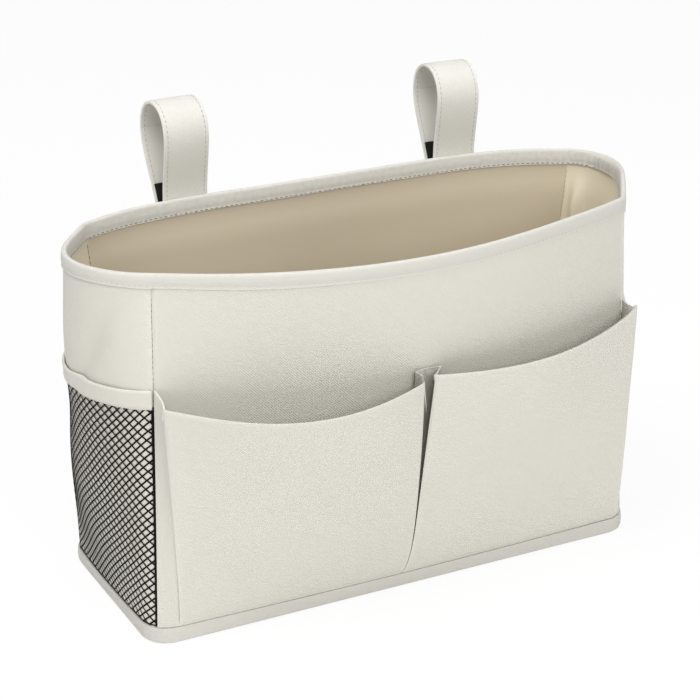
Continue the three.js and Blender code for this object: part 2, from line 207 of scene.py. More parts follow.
def clothFinish(name, look):
    material, tree, surface = emptyMaterial(name)
    flat, height = weaveHeight(tree, look["pitch"], look["diagonal"])
    patches = addNode(
        tree, "TexNoise", {"Vector": flat.outputs[0], "Scale": weave["patchScale"], "Detail": 4.0},
    )
    hollow = sums(tree, "MULTIPLY_ADD", height, -0.5 * look["contrast"], 0.5 * look["contrast"])
    share = sums(tree, "MULTIPLY_ADD", patches.outputs["Fac"], look["patches"], hollow)
    plain = blendColours(tree, share, look["colour"], look["shade"])
    # the pale colour marks worn edges and also painted light
    wornAndLit = addNode(tree, "Attribute", attribute_name="wearAndLight")
    grain = addNode(
        tree, "TexNoise", {"Vector": flat.outputs[0], "Scale": weave["grainScale"], "Detail": 2.0},
    )
    rubAndLight = sums(tree, "MULTIPLY", wornAndLit.outputs["Fac"], grain.outputs["Fac"])
    colour = blendColours(tree, rubAndLight, plain, look["wornAndLit"])
    tree.links.new(colour, surface.inputs["Base Color"])
    dull = sums(tree, "MULTIPLY_ADD", height, weave["hollowGloss"], look["roughness"])
    tree.links.new(dull, surface.inputs["Roughness"])
    surface.inputs["Sheen Weight"].default_value = look["sheen"]
    surface.inputs["Sheen Roughness"].default_value = weave["sheenRoughness"]
    surface.inputs["Specular IOR Level"].default_value = look["gloss"]
    bump = addNode(tree, "Bump", {
        "Height": height, "Strength": look["bump"], "Distance": look["bumpDepth"] * mm,
    })
    tree.links.new(bump.outputs[0], surface.inputs["Normal"])
    return material


outerLook = {
    "colour": linear(217, 214, 205), "shade": linear(176, 173, 162), "wornAndLit": linear(230, 228, 221),
    "pitch": 0.5, "diagonal": 0.6, "contrast": 0.36, "patches": 0.1,
    "roughness": 0.86, "sheen": 0.12, "gloss": 0.3, "bump": 0.55, "bumpDepth": 0.22,
}
bindingLook = {
    **outerLook, "colour": linear(215, 213, 205), "shade": linear(172, 170, 161),
    "pitch": 0.46, "diagonal": 0.5, "contrast": 0.48,
}
strapLook = {
    **outerLook, "colour": linear(231, 230, 223), "pitch": 0.45, "diagonal": 0.7, "contrast": 0.4,
}
# painted shade: the pleat's cloth is darker than the outer cloth for the shade inside the narrow slot between
# the pockets
pleatShadeLook = {**outerLook, "colour": linear(168, 164, 152), "shade": linear(112, 108, 97), "contrast": 0.7}
liningLook = {
    "colour": linear(201, 190, 168), "shade": linear(178, 166, 144), "wornAndLit": linear(208, 198, 178),
    "pitch": 0.32, "diagonal": 0.1, "contrast": 0.25, "patches": 0.18,
    "roughness": 0.6, "sheen": 0.08, "gloss": 0.4, "bump": 0.25, "bumpDepth": 0.1,
}
# painted light: the short walls hold no board, and their lining is given a lighter colour to stand in for the
# light that comes through it
litSideLiningLook = {**liningLook, "colour": linear(226, 217, 194), "shade": linear(206, 195, 171)}
paddingLook = {
    "colour": linear(226, 226, 222), "shade": linear(200, 200, 195), "wornAndLit": linear(230, 230, 226),
    "pitch": 1.6, "diagonal": 0.1, "contrast": 0.5, "patches": 0.3,
    "roughness": 0.95, "sheen": 0.3, "gloss": 0.2, "bump": 0.6, "bumpDepth": 0.4,
}
tapeLook = {
    "colour": linear(26, 27, 20), "shade": linear(9, 9, 7), "wornAndLit": linear(40, 40, 34),
    "pitch": 1.1, "diagonal": 0.2, "contrast": 0.8, "patches": 0.1,
    "roughness": 0.85, "sheen": 0.03, "gloss": 0.2, "bump": 0.9, "bumpDepth": 0.35,
}

outerCloth = clothFinish("outerCloth", outerLook)
pleatShadeCloth = clothFinish("pleatShadeCloth", pleatShadeLook)
bindingTape = clothFinish("bindingTape", bindingLook)
strapCloth = clothFinish("strapCloth", strapLook)
liningCloth = clothFinish("liningCloth", liningLook)
litSideLining = clothFinish("litSideLining", litSideLiningLook)
paddingFelt = clothFinish("paddingFelt", paddingLook)
hookLoopTape = clothFinish("hookLoopTape", tapeLook)


def threadFinish(name, colour, shade, roughness, turns, sheen=0.1, specular=0.4):
    material, tree, surface = emptyMaterial(name)
    place = addNode(tree, "TexCoord").outputs["Object"]
    fibre = addNode(tree, "TexNoise", {"Vector": place, "Scale": turns, "Detail": 3.0})
    tree.links.new(blendColours(tree, fibre.outputs["Fac"], colour, shade), surface.inputs["Base Color"])
    surface.inputs["Roughness"].default_value = roughness
    surface.inputs["Sheen Weight"].default_value = sheen
    surface.inputs["Specular IOR Level"].default_value = specular
    bump = addNode(tree, "Bump", {"Height": fibre.outputs["Fac"], "Strength": 0.5, "Distance": 0.15 * mm})
    tree.links.new(bump.outputs[0], surface.inputs["Normal"])
    return material


netCord = threadFinish("netCord", linear(18, 18, 16), linear(8, 8, 7), 0.8, 1400.0, sheen=0.0, specular=0.15)
sewingThread = threadFinish("sewingThread", linear(226, 224, 215), linear(186, 183, 172), 0.7, 1800.0)
# a thread darker than the cloth; at the rim it also paints the thin shadow at the tape's foot
dullThread = threadFinish("dullThread", linear(196, 193, 182), linear(164, 161, 150), 0.8, 1800.0)
# painted shade: thread darker than the cloth, for the shade in the corner seams' grooves
grooveShadeThread = threadFinish("grooveShadeThread", linear(150, 143, 126), linear(112, 106, 92), 0.8, 1800.0)
liningThread = threadFinish("liningThread", linear(186, 174, 150), linear(160, 148, 126), 0.8, 1800.0)
# painted shadow: dark thread for the shadow at the rim tape's inside foot and in the lining's back-left
# corner
shadowThread = threadFinish("shadowThread", linear(104, 94, 74), linear(70, 62, 48), 0.8, 1800.0)
greyBoard = threadFinish("greyBoard", linear(150, 146, 138), linear(116, 112, 104), 0.9, 260.0)
print("finishes made")


# soft skin of the box, in millimetres: turn 0 to 1 is the front, then right, back and left
boxCut = {
    "width": 300.0, "depth": 120.0, "cornerRadius": 14.0, "height": 212.0,
    "earlyBulge": 0.35, "dipFoot": 152.0, "tableSteps": 400, "arcSteps": 60, "normalReach": 0.02,
    "rimSoftness": 7.0,
}
layers = {
    "cloth": 0.8, "core": 1.8, "lining": 0.6, "gap": 0.3, "seamGap": 0.24, "liningSeamGap": 0.06, "tape": 0.8,
    "baseBoard": 2.0, "baseBoardGap": 1.0,
    "rimTape": 0.4, "rimReach": 0.55, "rimWall": 1.85,   # at the rim the layers are sewn flat
}
layers["wall"] = layers["cloth"] + layers["core"] + layers["lining"] + 2 * layers["gap"]
layers["binding"] = layers["gap"] + layers["tape"]
frontWall, rightWall, backWall, leftWall = range(4)


def evenly(line, steps):
    line = np.asarray(line)
    lengths = np.concatenate([[0], np.cumsum(np.linalg.norm(np.diff(line, axis=0), axis=1))])
    places = np.linspace(0, lengths[-1], steps + 1)
    return np.stack([np.interp(places, lengths, line[:, k]) for k in range(line.shape[1])], axis=1)


def bezier(points, steps=boxCut["tableSteps"]):
    t = np.linspace(0, 1, steps + 1)[:, None]
    points = [np.asarray(p, float) for p in points]
    while len(points) > 1:
        points = [a + (b - a) * t for a, b in zip(points, points[1:])]
    return points[0]


def baseLines():
    r = boxCut["cornerRadius"]
    x = boxCut["width"] / 2 - r
    y = boxCut["depth"] / 2 - r
    corners = [(-x, -y), (x, -y), (x, y), (-x, y)]
    lines = []
    for wall in range(4):
        square = np.radians(90 * wall - 90)
        eighth = np.linspace(0, np.pi / 4, boxCut["arcSteps"])
        arcs = [(corners[wall], square - np.pi / 4 + eighth), (corners[(wall + 1) % 4], square + eighth)]
        line = [(cx + r * np.cos(a), cy + r * np.sin(a)) for (cx, cy), angles in arcs for a in angles]
        lines.append(line)
    return lines


# the rim as it has settled, wall by wall: corner, pulls and corner
rimPulls = (
    ((-145.4, -62.9), (-5.0, -136.9), (133.6, -61.6)),
    ((133.6, -61.6), (145.0, -45.5), (163.2, -19.5), (172.5, -2.5), (154.0, 23.0)),
    ((154.0, 23.0), (95.2, 52.0), (34.0, 35.0), (-26.7, 30.0), (-98.0, 50.0), (-147.5, 24.5)),
    ((-147.5, 24.5), (-167.2, -8.0), (-181.8, -5.9), (-176.0, -53.3), (-145.4, -62.9)),
)


def joinedTable(lines):
    steps = boxCut["tableSteps"]
    parts = [evenly(line, steps)[:-1] for line in lines]
    return np.concatenate(parts + [parts[0][:1]])


# rounds the corners of a closed line
def softened(table):
    reach = boxCut["rimSoftness"]
    steps = np.arange(-int(3 * reach), int(3 * reach) + 1)
    weights = np.exp(-0.5 * (steps / reach) ** 2)
    line = sum(w * np.roll(table[:-1], k, axis=0) for w, k in zip(weights / weights.sum(), steps))
    return np.concatenate([line, line[:1]])


baseTable = joinedTable(baseLines())
rimTable = softened(joinedTable([bezier(pulls) for pulls in rimPulls]))
turnTable = np.linspace(0, 4, 4 * boxCut["tableSteps"] + 1)
arcLength = np.pi / 4 * boxCut["cornerRadius"] * 2
wallLength = [
    boxCut["width"] - 2 * boxCut["cornerRadius"] + arcLength,
    boxCut["depth"] - 2 * boxCut["cornerRadius"] + arcLength,
] * 2
roundLength = np.concatenate([[0], np.cumsum(wallLength)])


def lerp(start, end, share):
    return start + (end - start) * share


def ease(share):
    share = np.clip(share, 0, 1)
    return share * share * (3 - 2 * share)


def endSpaced(share):
    return (1 - np.cos(np.pi * share)) / 2


def turnAlong(length):
    return np.interp(np.mod(length, roundLength[-1]), roundLength, np.arange(5.0))


def ripple(a, b, seed):
    waves = ((1.0, 0.35, 0.9), (0.55, -1.3, 2.3), (-0.8, 0.95, 4.1), (1.7, 0.6, 5.3))
    total = 0.0
    for n, (p, q, phase) in enumerate(waves):
        total = total + np.sin(a * p + b * q + phase * (seed + 1) + n) / len(waves)
    return total


def skin(turn, rise):
    turn, rise = np.broadcast_arrays(np.asarray(turn, float), np.asarray(rise, float))
    lap = np.mod(turn, 4.0)
    base = np.stack([np.interp(lap, turnTable, baseTable[:, k]) for k in (0, 1)], axis=-1)
    rim = np.stack([np.interp(lap, turnTable, rimTable[:, k]) for k in (0, 1)], axis=-1)
    lean = rim - base
    share = rise / boxCut["height"]
    swing = share * (1 + boxCut["earlyBulge"] * (1 - share))
    tall = np.sqrt(boxCut["height"] ** 2 - (lean ** 2).sum(-1))
    return np.concatenate([base + lean * swing[..., None], (tall * share)[..., None]], axis=-1)


def outwardAt(turn, rise):
    along = skin(turn + boxCut["normalReach"], rise) - skin(turn - boxCut["normalReach"], rise)
    level = np.stack([along[..., 1], -along[..., 0], 0 * along[..., 0]], axis=-1)
    return level / np.linalg.norm(level, axis=-1, keepdims=True)


# soft humps and valleys of the walls: turn, lean, rise, their reach, and how far out
slackForms = (
    (3.4, 0.0, 158.0, 0.28, 38.0, 3.9),
    (3.66, 0.006, 162.0, 0.055, 24.0, -3.3),
    (3.84, 0.0, 166.0, 0.1, 28.0, 0.6),
    (3.15, 0.0, 84.0, 0.32, 55.0, 6.4),
    (1.5, 0.001, 172.0, 0.12, 24.0, -0.9),
    (1.12, 0.0, 138.0, 0.2, 40.0, 1.2),
    (2.22, 0.0, 130.0, 0.22, 52.0, -6.5),
    (2.78, 0.0, 130.0, 0.22, 52.0, -6.5),
)


def slack(turn, rise):
    total = 0.0
    for atTurn, lean, atRise, turnReach, riseReach, amount in slackForms:
        aside = (np.mod(turn, 4.0) - atTurn - lean * (rise - atRise)) / turnReach
        total = total + amount * np.exp(-aside ** 2 - ((rise - atRise) / riseReach) ** 2)
    return total


# where the rim has sunk: turn, reach, and how far down
rimDips = ((0.1, 0.28, 2.7), (1.05, 0.22, 5.0))


def around(turn, place, reach):
    aside = np.mod(turn - place + 2.0, 4.0) - 2.0
    return np.exp(-(aside / reach) ** 2)


def rimDip(turn, rise):
    sunk = sum(amount * around(turn, place, reach) for place, reach, amount in rimDips)
    return sunk * ease((rise - boxCut["dipFoot"]) / (boxCut["height"] - boxCut["dipFoot"]))


def wallPoint(turn, rise, outward):
    turn, rise, outward = np.broadcast_arrays(*[np.asarray(v, float) for v in (turn, rise, outward)])
    rise = rise - rimDip(turn, rise)
    return skin(turn, rise) + outwardAt(turn, rise) * (outward + slack(turn, rise))[..., None]


# making and finishing pieces
def clothGrid(name, columns, rows, shape):
    bpy.ops.object.select_all(action="DESELECT")
    bpy.ops.mesh.primitive_grid_add(x_subdivisions=columns, y_subdivisions=rows, size=1)
    piece = bpy.context.object
    piece.name = name
    piece.data.name = name
    mesh = piece.data
    start = np.empty(len(mesh.vertices) * 3, np.float32)
    mesh.vertices.foreach_get("co", start)
    across, up = np.clip(start.reshape(-1, 3)[:, :2].astype(float) + 0.5, 0, 1).T
    layCloth(piece, *shape(across, up))
    return piece


# moves a flat mesh to its place and keeps its flat map and its pale marks: real wear at edges and seams, and
# painted light on the rim tape's inside and the pleat's mouth
def layCloth(piece, points, flat, wearAndLight):
    mesh = piece.data
    mesh.vertices.foreach_set("co", (points * mm).astype(np.float32).ravel())
    if not mesh.uv_layers:
        mesh.uv_layers.new()
    mesh.uv_layers[0].name = "cloth"
    corners = np.empty(len(mesh.loops), np.int32)
    mesh.loops.foreach_get("vertex_index", corners)
    mesh.uv_layers[0].data.foreach_set("uv", (flat[corners] * mm).astype(np.float32).ravel())
    wornAndLit = mesh.attributes.new("wearAndLight", "FLOAT", "POINT")
    wornAndLit.data.foreach_set("value", np.broadcast_to(wearAndLight, len(points)).astype(np.float32))
    mesh.update()


def only(piece):
    bpy.ops.object.select_all(action="DESELECT")
    piece.select_set(True)
    bpy.context.view_layer.objects.active = piece


def finishWith(piece, kind, **settings):
    only(piece)
    bpy.ops.object.modifier_add(type=kind)
    modifier = piece.modifiers[-1]
    for key, value in settings.items():
        setattr(modifier, key, value)
    bpy.ops.object.modifier_apply(modifier=modifier.name)


def thicken(piece, thickness, offset=-1.0, even=True):
    finishWith(piece, "SOLIDIFY", thickness=thickness * mm, offset=offset, use_even_offset=even)


def smooth(piece, degrees=50):
    only(piece)
    bpy.ops.object.shade_smooth_by_angle(angle=np.radians(degrees))


def closeSeam(piece, reach=0.02):
    only(piece)
    bpy.ops.object.mode_set(mode="EDIT")
    bpy.ops.mesh.select_all(action="SELECT")
    bpy.ops.mesh.remove_doubles(threshold=reach * mm)
    bpy.ops.object.mode_set(mode="OBJECT")


def dress(piece, material, slot, body, *nodes):
    piece.data.materials.clear()
    piece.data.materials.append(material)
    if body:
        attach(piece, body)
    if nodes:
        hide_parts(*nodes)
    return piece


def finishCloth(piece, thickness, material, slot, body, node, even=True, degrees=50):
    thicken(piece, thickness, even=even)
    smooth(piece, degrees)
    return dress(piece, material, slot, body, node)


# bakes a piece's placement into its points
def bendBetween(piece):
    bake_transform(piece)


# sewing: one rounded stitch is modelled and repeated along a line
stitch = {
    "length": 2.2, "width": 0.42, "height": 0.34, "pitch": 3.0,
    "aimReach": 0.6, "skew": 0.12, "skewTurn": 2.4,
}


def stitchShape():
    bpy.ops.object.select_all(action="DESELECT")
    bpy.ops.mesh.primitive_uv_sphere_add(segments=6, ring_count=5, radius=0.5)
    seed = bpy.context.object
    points = np.array([v.co for v in seed.data.vertices])[:, [2, 0, 1]]
    faces = [tuple(p.vertices) for p in seed.data.polygons]
    only(seed)
    bpy.ops.object.delete()
    return points, faces


stitchPoints, stitchFaces = stitchShape()


def sewLine(name, line, normals, closed=False, **sizes):
    sizes = {**stitch, **sizes}
    line, normals = np.asarray(line), np.asarray(normals)
    if closed:
        line, normals = np.concatenate([line, line[:1]]), np.concatenate([normals, normals[:1]])
    lengths = np.concatenate([[0], np.cumsum(np.linalg.norm(np.diff(line, axis=0), axis=1))])
    count = max(1, int(lengths[-1] / sizes["pitch"]))
    middles = (np.arange(count) + 0.5) * lengths[-1] / count

    def at(places, values):
        return np.stack([np.interp(places, lengths, values[:, k]) for k in range(3)], axis=1)

    centre = at(middles, line)
    along = at(middles + sizes["aimReach"], line) - at(middles - sizes["aimReach"], line)
    along /= np.linalg.norm(along, axis=1, keepdims=True)
    up = at(middles, normals)
    up -= along * (up * along).sum(1, keepdims=True)
    up /= np.linalg.norm(up, axis=1, keepdims=True)
    side = np.cross(up, along)
    skew = sizes["skew"] * np.sin(np.arange(count) * sizes["skewTurn"])[:, None]
    along, side = along + side * skew, side - along * skew
    local = stitchPoints * [sizes["length"], sizes["width"], sizes["height"]]
    points = (
        centre[:, None] + along[:, None] * local[None, :, 0:1]
        + side[:, None] * local[None, :, 1:2] + up[:, None] * local[None, :, 2:3]
    ).reshape(-1, 3)
    size = len(stitchPoints)
    faces = [tuple(k + n * size for k in face) for n in range(count) for face in stitchFaces]
    mesh = bpy.data.meshes.new(name)
    mesh.from_pydata((points * mm).tolist(), [], faces)
    mesh.update()
    row = bpy.data.objects.new(name, mesh)
    scene.collection.objects.link(row)
    only(row)
    bpy.ops.object.shade_smooth()
    return row


def sewAs(name, rows, material, slot, body):
    only(rows[0])
    for row in rows:
        row.select_set(True)
    if len(rows) > 1:
        bpy.ops.object.join()
    rows[0].name = name
    rows[0].data.name = name
    return dress(rows[0], material, slot, body)


# walls: outer cloth, a core of board or padding, and lining, each from seam to seam
wallNames = ("front", "right", "back", "left")
walls = {
    "columns": (96, 56, 96, 56), "rows": 44,
    "seamRoll": 0.75, "liningRoll": -0.4, "seamReach": 1.2, "seamWear": 0.6, "seamWearReach": 2.5,
    "floorRise": layers["tape"] + layers["gap"],
    "pinchRise": 186.0, "pinchReach": 15.0,
    "coreTop": 191.0, "paddingSqueeze": 0.2, "paddingThinner": 0.5,
    "clothRipple": 0.12, "liningRipple": -0.1, "rippleAcross": 17.0, "rippleUp": 23.0,
    # the cloth lies flat near the rim and the seams
    "quietTop": 11.0, "quietReach": 25.0, "quietSeam": 8.0,
    # loose folds of the lining: wall, share along it, lean, how far in, width
    "liningFolds": (
        (rightWall, 0.87, 0.0009, 4.0, 4.2), (rightWall, 0.5, -0.0008, 1.5, 8.0),
        (rightWall, 0.22, 0.001, 1.2, 6.0), (leftWall, 0.3, 0.0009, 1.4, 6.0),
        (leftWall, 0.7, -0.001, 1.2, 7.0),
    ),
    "foldLeanRise": 150.0, "foldFoot": 20.0, "foldClimb": 80.0,
}


# share of the way in which the layers close up towards the rim
def pinch(rise):
    return ease((rise - walls["pinchRise"]) / walls["pinchReach"])


def liningFold(wall, share, rise):
    total = 0.0
    for atWall, atShare, lean, amount, width in walls["liningFolds"]:
        if atWall == wall:
            aside = (share - atShare - lean * (rise - walls["foldLeanRise"])) * wallLength[wall] / width
            fade = ease((rise - walls["foldFoot"]) / walls["foldClimb"])
            total = total + amount * np.exp(-aside ** 2) * fade
    return total


def wallSheet(name, wall, depth, roll, top=boxCut["height"], squeeze=0.0, folds=False, ripples=0.0):
    length = wallLength[wall]
    trim = layers["liningSeamGap" if folds else "seamGap"] / 2 / length

    def shape(across, up):
        share = endSpaced(across)
        turn = wall + lerp(trim, 1 - trim, share)
        rise = lerp(walls["floorRise"], top, up)
        seamFar = np.minimum(share, 1 - share) * length
        outward = -depth + squeeze * pinch(rise) - roll * np.exp(-(seamFar / walls["seamReach"]) ** 2)
        quiet = ease((boxCut["height"] - walls["quietTop"] - rise) / walls["quietReach"])
        quiet = quiet * ease(seamFar / walls["quietSeam"])
        wave = ripple(share * length / walls["rippleAcross"], rise / walls["rippleUp"], wall)
        outward = outward + quiet * ripples * wave
        if folds:
            outward = outward - quiet * liningFold(wall, share, rise)
        wearAndLight = walls["seamWear"] * np.exp(-seamFar / walls["seamWearReach"])
        return wallPoint(turn, rise, outward), np.stack([share * length, rise], 1), wearAndLight

    return clothGrid(name, walls["columns"][wall], walls["rows"], shape)


def makeWalls():
    liningDepth = layers["cloth"] + layers["core"] + 2 * layers["gap"]
    squeeze = layers["wall"] - layers["rimWall"]
    for wall, side in enumerate(wallNames):
        onBoard = wall in (frontWall, backWall)
        core = f"{side}_board" if onBoard else f"{side}_padding"
        cloth = wallSheet(f"{side}_wall_cloth", wall, 0.0, walls["seamRoll"], ripples=walls["clothRipple"])
        finishCloth(cloth, layers["cloth"], outerCloth, "outer_cloth", "caddy", f"{side}_wall")

        inside = wallSheet(
            f"{side}_lining_cloth", wall, liningDepth, walls["liningRoll"], squeeze=squeeze, folds=True,
            ripples=walls["liningRipple"],
        )
        # painted light: the short walls' lining takes the lighter finish
        finish = liningCloth if onBoard else litSideLining
        finishCloth(inside, layers["lining"], finish, "lining", "caddy", f"{side}_lining")

        filling = wallSheet(
            f"{core}_sheet", wall, layers["cloth"] + layers["gap"], 0.0, top=walls["coreTop"],
            squeeze=0.0 if onBoard else walls["paddingSqueeze"],
        )
        if onBoard:
            finishCloth(filling, layers["core"], greyBoard, "board", "caddy", core)
        else:
            thickness = layers["core"] - walls["paddingThinner"]
            finishCloth(filling, thickness, paddingFelt, "padding", "caddy", core)
    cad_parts["base_board"].data.materials.clear()
    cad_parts["base_board"].data.materials.append(greyBoard)


# the four corner seams, sewn down in the groove between the panels, outside and in the lining; the outside
# thread is darker than the cloth, painted shade in the groove
cornerSewing = {
    "end": 12.0, "steps": 80, "sink": 0.1, "liningLift": 0.35,
    "outside": {"length": 1.9, "width": 0.36}, "inside": {"length": 2.9, "width": 0.5},
}


def makeCornerSewing():
    rise = np.linspace(cornerSewing["end"], boxCut["height"] - cornerSewing["end"], cornerSewing["steps"])
    liningFace = layers["rimWall"] - layers["wall"]
    outside, inside, dark = [], [], []
    for wall in range(4):
        turn = np.full(len(rise), float(wall))
        outward = outwardAt(turn, rise)
        line = wallPoint(turn, rise, -walls["seamRoll"] - cornerSewing["sink"])
        outside.append(sewLine(f"corner_sewing_{wall}", line, outward, **cornerSewing["outside"]))
        line = wallPoint(turn, rise, cornerSewing["liningLift"] - layers["wall"] - liningFace * pinch(rise))
        row = sewLine(f"lining_sewing_{wall}", line, -outward, **cornerSewing["inside"])
        (dark if wall == leftWall else inside).append(row)
    sewAs("corner_sewing", outside, grooveShadeThread, "outer_cloth", "caddy")
    sewAs("lining_sewing", inside, liningThread, "lining", "caddy")
    # painted shade: the back-left lining seam is sewn with the dark thread
    sewAs("left_lining_sewing", dark, shadowThread, "lining", "caddy")


makeWalls()
makeCornerSewing()
print("walls made")


# base: cloth underneath and lining on top of the board
base = {
    "columns": 60, "rows": 28, "tapeUnderlap": 8.0, "leastRadius": 3.0, "edgeWear": 0.4, "wearReach": 3.0,
    "liningLift": 0.7, "liftReach": 15.0, "rippleAcross": 19.0, "rippleUp": 15.0,
}


def baseSheet(name, inset, height, lift):
    halfWidth = boxCut["width"] / 2 - inset
    halfDepth = boxCut["depth"] / 2 - inset
    radius = max(boxCut["cornerRadius"] - inset, base["leastRadius"])

    def shape(across, up):
        x, y = 2 * endSpaced(across) - 1, (2 * endSpaced(up) - 1) * halfDepth
        into = np.clip(np.abs(y) - (halfDepth - radius), 0, radius)
        x = x * (halfWidth - radius + np.sqrt(radius ** 2 - into ** 2))
        edge = np.minimum(halfWidth - np.abs(x), halfDepth - np.abs(y))
        wave = ripple(x / base["rippleAcross"], y / base["rippleUp"], 3)
        z = height + lift * ease(edge / base["liftReach"]) * (0.5 + 0.5 * wave)
        wearAndLight = base["edgeWear"] * np.exp(-edge / base["wearReach"])
        return np.stack([x, y, z], 1), np.stack([x, y], 1), wearAndLight

    return clothGrid(name, base["columns"], base["rows"], shape)


def makeBase():
    inset = base["tapeUnderlap"] + layers["gap"]
    under = baseSheet("base_cloth_sheet", inset, layers["cloth"], 0.0)
    finishCloth(under, layers["cloth"], outerCloth, "outer_cloth", "caddy", "base_cloth")
    inset = layers["wall"] + layers["baseBoardGap"]
    top = walls["floorRise"] + layers["baseBoard"] + layers["gap"] + layers["lining"]
    over = baseSheet("base_lining_sheet", inset, top, base["liningLift"])
    finishCloth(over, layers["lining"], liningCloth, "lining", "caddy", "base_lining")


makeBase()
print("base made")


# binding tapes, folded over the rim and round the base seam
rimTape = {
    "columns": 1080, "rows": 22, "drop": 8.5, "arch": 1.5, "puff": 0.3, "stitchRise": 1.5,
    "rowReach": 0.9, "press": 0.2, "pucker": 0.08, "lip": 0.2, "lipReach": 0.7,
    "edgeWander": 0.45, "wanderPitch": 21.0,
    "gather": 0.35, "gatherPitch": 1.7, "gatherDrift": 23.0,
    "bunch": 1.2, "bunchPlace": 370.0, "bunchReach": 20.0, "bunchPitch": 0.6, "bunchDrift": 5.0,
    "inwards": 1.4, "inwardsPlace": 3.8, "inwardsReach": 0.5, "joint": 425.0,
    "crestWear": 0.8, "crestReach": 2.2, "edgeWear": 0.4, "insideLight": 0.9,
    "sewingSteps": 900, "sewingLift": 0.15, "insideRowDrop": 0.9,
}
baseTape = {
    "columns": 900, "rows": 16, "rise": 10.0, "underlap": 8.0, "roundness": 2.0, "joint": 560.0,
    "puff": 0.35, "puffOver": 1.5, "sideReach": 2.0,
    "lump": 0.16, "lumpAcross": 13.0, "lumpUp": 5.0, "lumpReach": 3.0,
    "edgeWander": 0.3, "wanderPitch": 24.0, "wanderReach": 4.0, "bendWear": 0.7, "wearReach": 2.0,
}


# the tape sits a little further in along the front left
def tapeShift(turn):
    return rimTape["inwards"] * around(turn, rimTape["inwardsPlace"], rimTape["inwardsReach"])


def rimSection(length, up):
    height = boxCut["height"]
    half = layers["rimWall"] / 2 + layers["rimReach"]
    middle = layers["rimReach"] - half
    spring = height + layers["rimReach"] - rimTape["arch"]
    plainLeg = spring - (height - rimTape["drop"])
    shift = tapeShift(turnAlong(length))
    over = np.pi * (half + rimTape["arch"]) / 2
    walk = up * (2 * plainLeg + over)
    turned = walk - (plainLeg - shift)
    angle = np.clip(turned / over, 0, 1) * np.pi
    outward = middle + half * np.cos(angle)
    down = np.maximum(-turned, turned - over)
    rise = np.where(down > 0, spring - down, spring + rimTape["arch"] * np.sin(angle))
    inside = turned > over / 2
    way = np.where(inside, -1.0, 1.0)
    leg = plainLeg - way * shift
    fromFoot = leg - np.clip(down, 0, leg)
    legShare = np.clip(fromFoot / leg, 0, 1)
    onLeg = down > 0
    puff = rimTape["puff"] * np.sin(np.pi * legShare) * onLeg
    nearRow = np.exp(-((fromFoot - rimTape["stitchRise"]) / rimTape["rowReach"]) ** 2) * onLeg
    pucker = rimTape["pucker"] * np.cos(2 * np.pi * length / stitch["pitch"]) * nearRow
    gatherTurn = length / rimTape["gatherPitch"] + np.sin(length / rimTape["gatherDrift"])
    bunchTurn = length / rimTape["bunchPitch"] + np.sin(length / rimTape["bunchDrift"])
    bunched = np.exp(-((length - rimTape["bunchPlace"]) / rimTape["bunchReach"]) ** 2)
    gather = rimTape["gather"] * (1 - legShare) * np.sin(gatherTurn)
    gather = gather + rimTape["bunch"] * bunched * np.sin(bunchTurn)
    lip = rimTape["lip"] * np.exp(-fromFoot / rimTape["lipReach"]) * onLeg
    outward = outward + way * (puff + lip - rimTape["press"] * nearRow + pucker)
    outward = outward - np.abs(gather) * inside * onLeg
    wave = ripple(length / rimTape["wanderPitch"], inside * 2.0, 2)
    wander = rimTape["edgeWander"] * wave * (1 - legShare) * onLeg
    wearAndLight = rimTape["crestWear"] * np.exp(-((turned - over / 2) / rimTape["crestReach"]) ** 2)
    wearAndLight = wearAndLight + rimTape["edgeWear"] * np.exp(-fromFoot) * onLeg
    # painted light: the inside leg of the tape is blended towards the paler colour, for light that the walls
    # of the box keep from it
    wearAndLight = np.maximum(wearAndLight, rimTape["insideLight"] * inside)
    return outward, rise + wander, walk, wearAndLight


def makeRimTape():
    def shape(across, up):
        length = np.mod(across * roundLength[-1] + rimTape["joint"], roundLength[-1])
        outward, rise, walk, wearAndLight = rimSection(length, up)
        flat = np.stack([across * roundLength[-1], walk], 1)
        return wallPoint(turnAlong(length), rise, outward), flat, wearAndLight

    tape = clothGrid("rim_binding_tape", rimTape["columns"], rimTape["rows"], shape)
    closeSeam(tape)
    finishCloth(tape, layers["rimTape"], bindingTape, "binding", "caddy", "rim_binding", even=False)
    length = np.linspace(0, roundLength[-1], rimTape["sewingSteps"])[:-1]
    turn = turnAlong(length)
    foot = boxCut["height"] - rimTape["drop"] + rimTape["stitchRise"]
    normal = outwardAt(turn, foot)
    shift = tapeShift(turn)
    outer = layers["rimReach"] - rimTape["press"] + rimTape["sewingLift"]
    inner = -layers["rimWall"] - layers["rimReach"] - rimTape["gather"]
    insideRow = foot - shift - rimTape["insideRowDrop"]
    # painted shadow: the outside row is sewn in a thread darker than the tape, for the thin shadow line at
    # the tape's foot
    outside = sewLine("rim_sewing", wallPoint(turn, foot + shift, outer), normal, closed=True)
    # painted shadow: the inside row, in dark thread, stands for the shadow where the tape meets the lining
    inside = sewLine("rim_sewing_inside", wallPoint(turn, insideRow, inner), -normal, closed=True)
    sewing = [
        sewAs("rim_sewing", [outside], dullThread, "binding", "caddy"),
        sewAs("rim_sewing_inside", [inside], shadowThread, "binding", "caddy"),
    ]


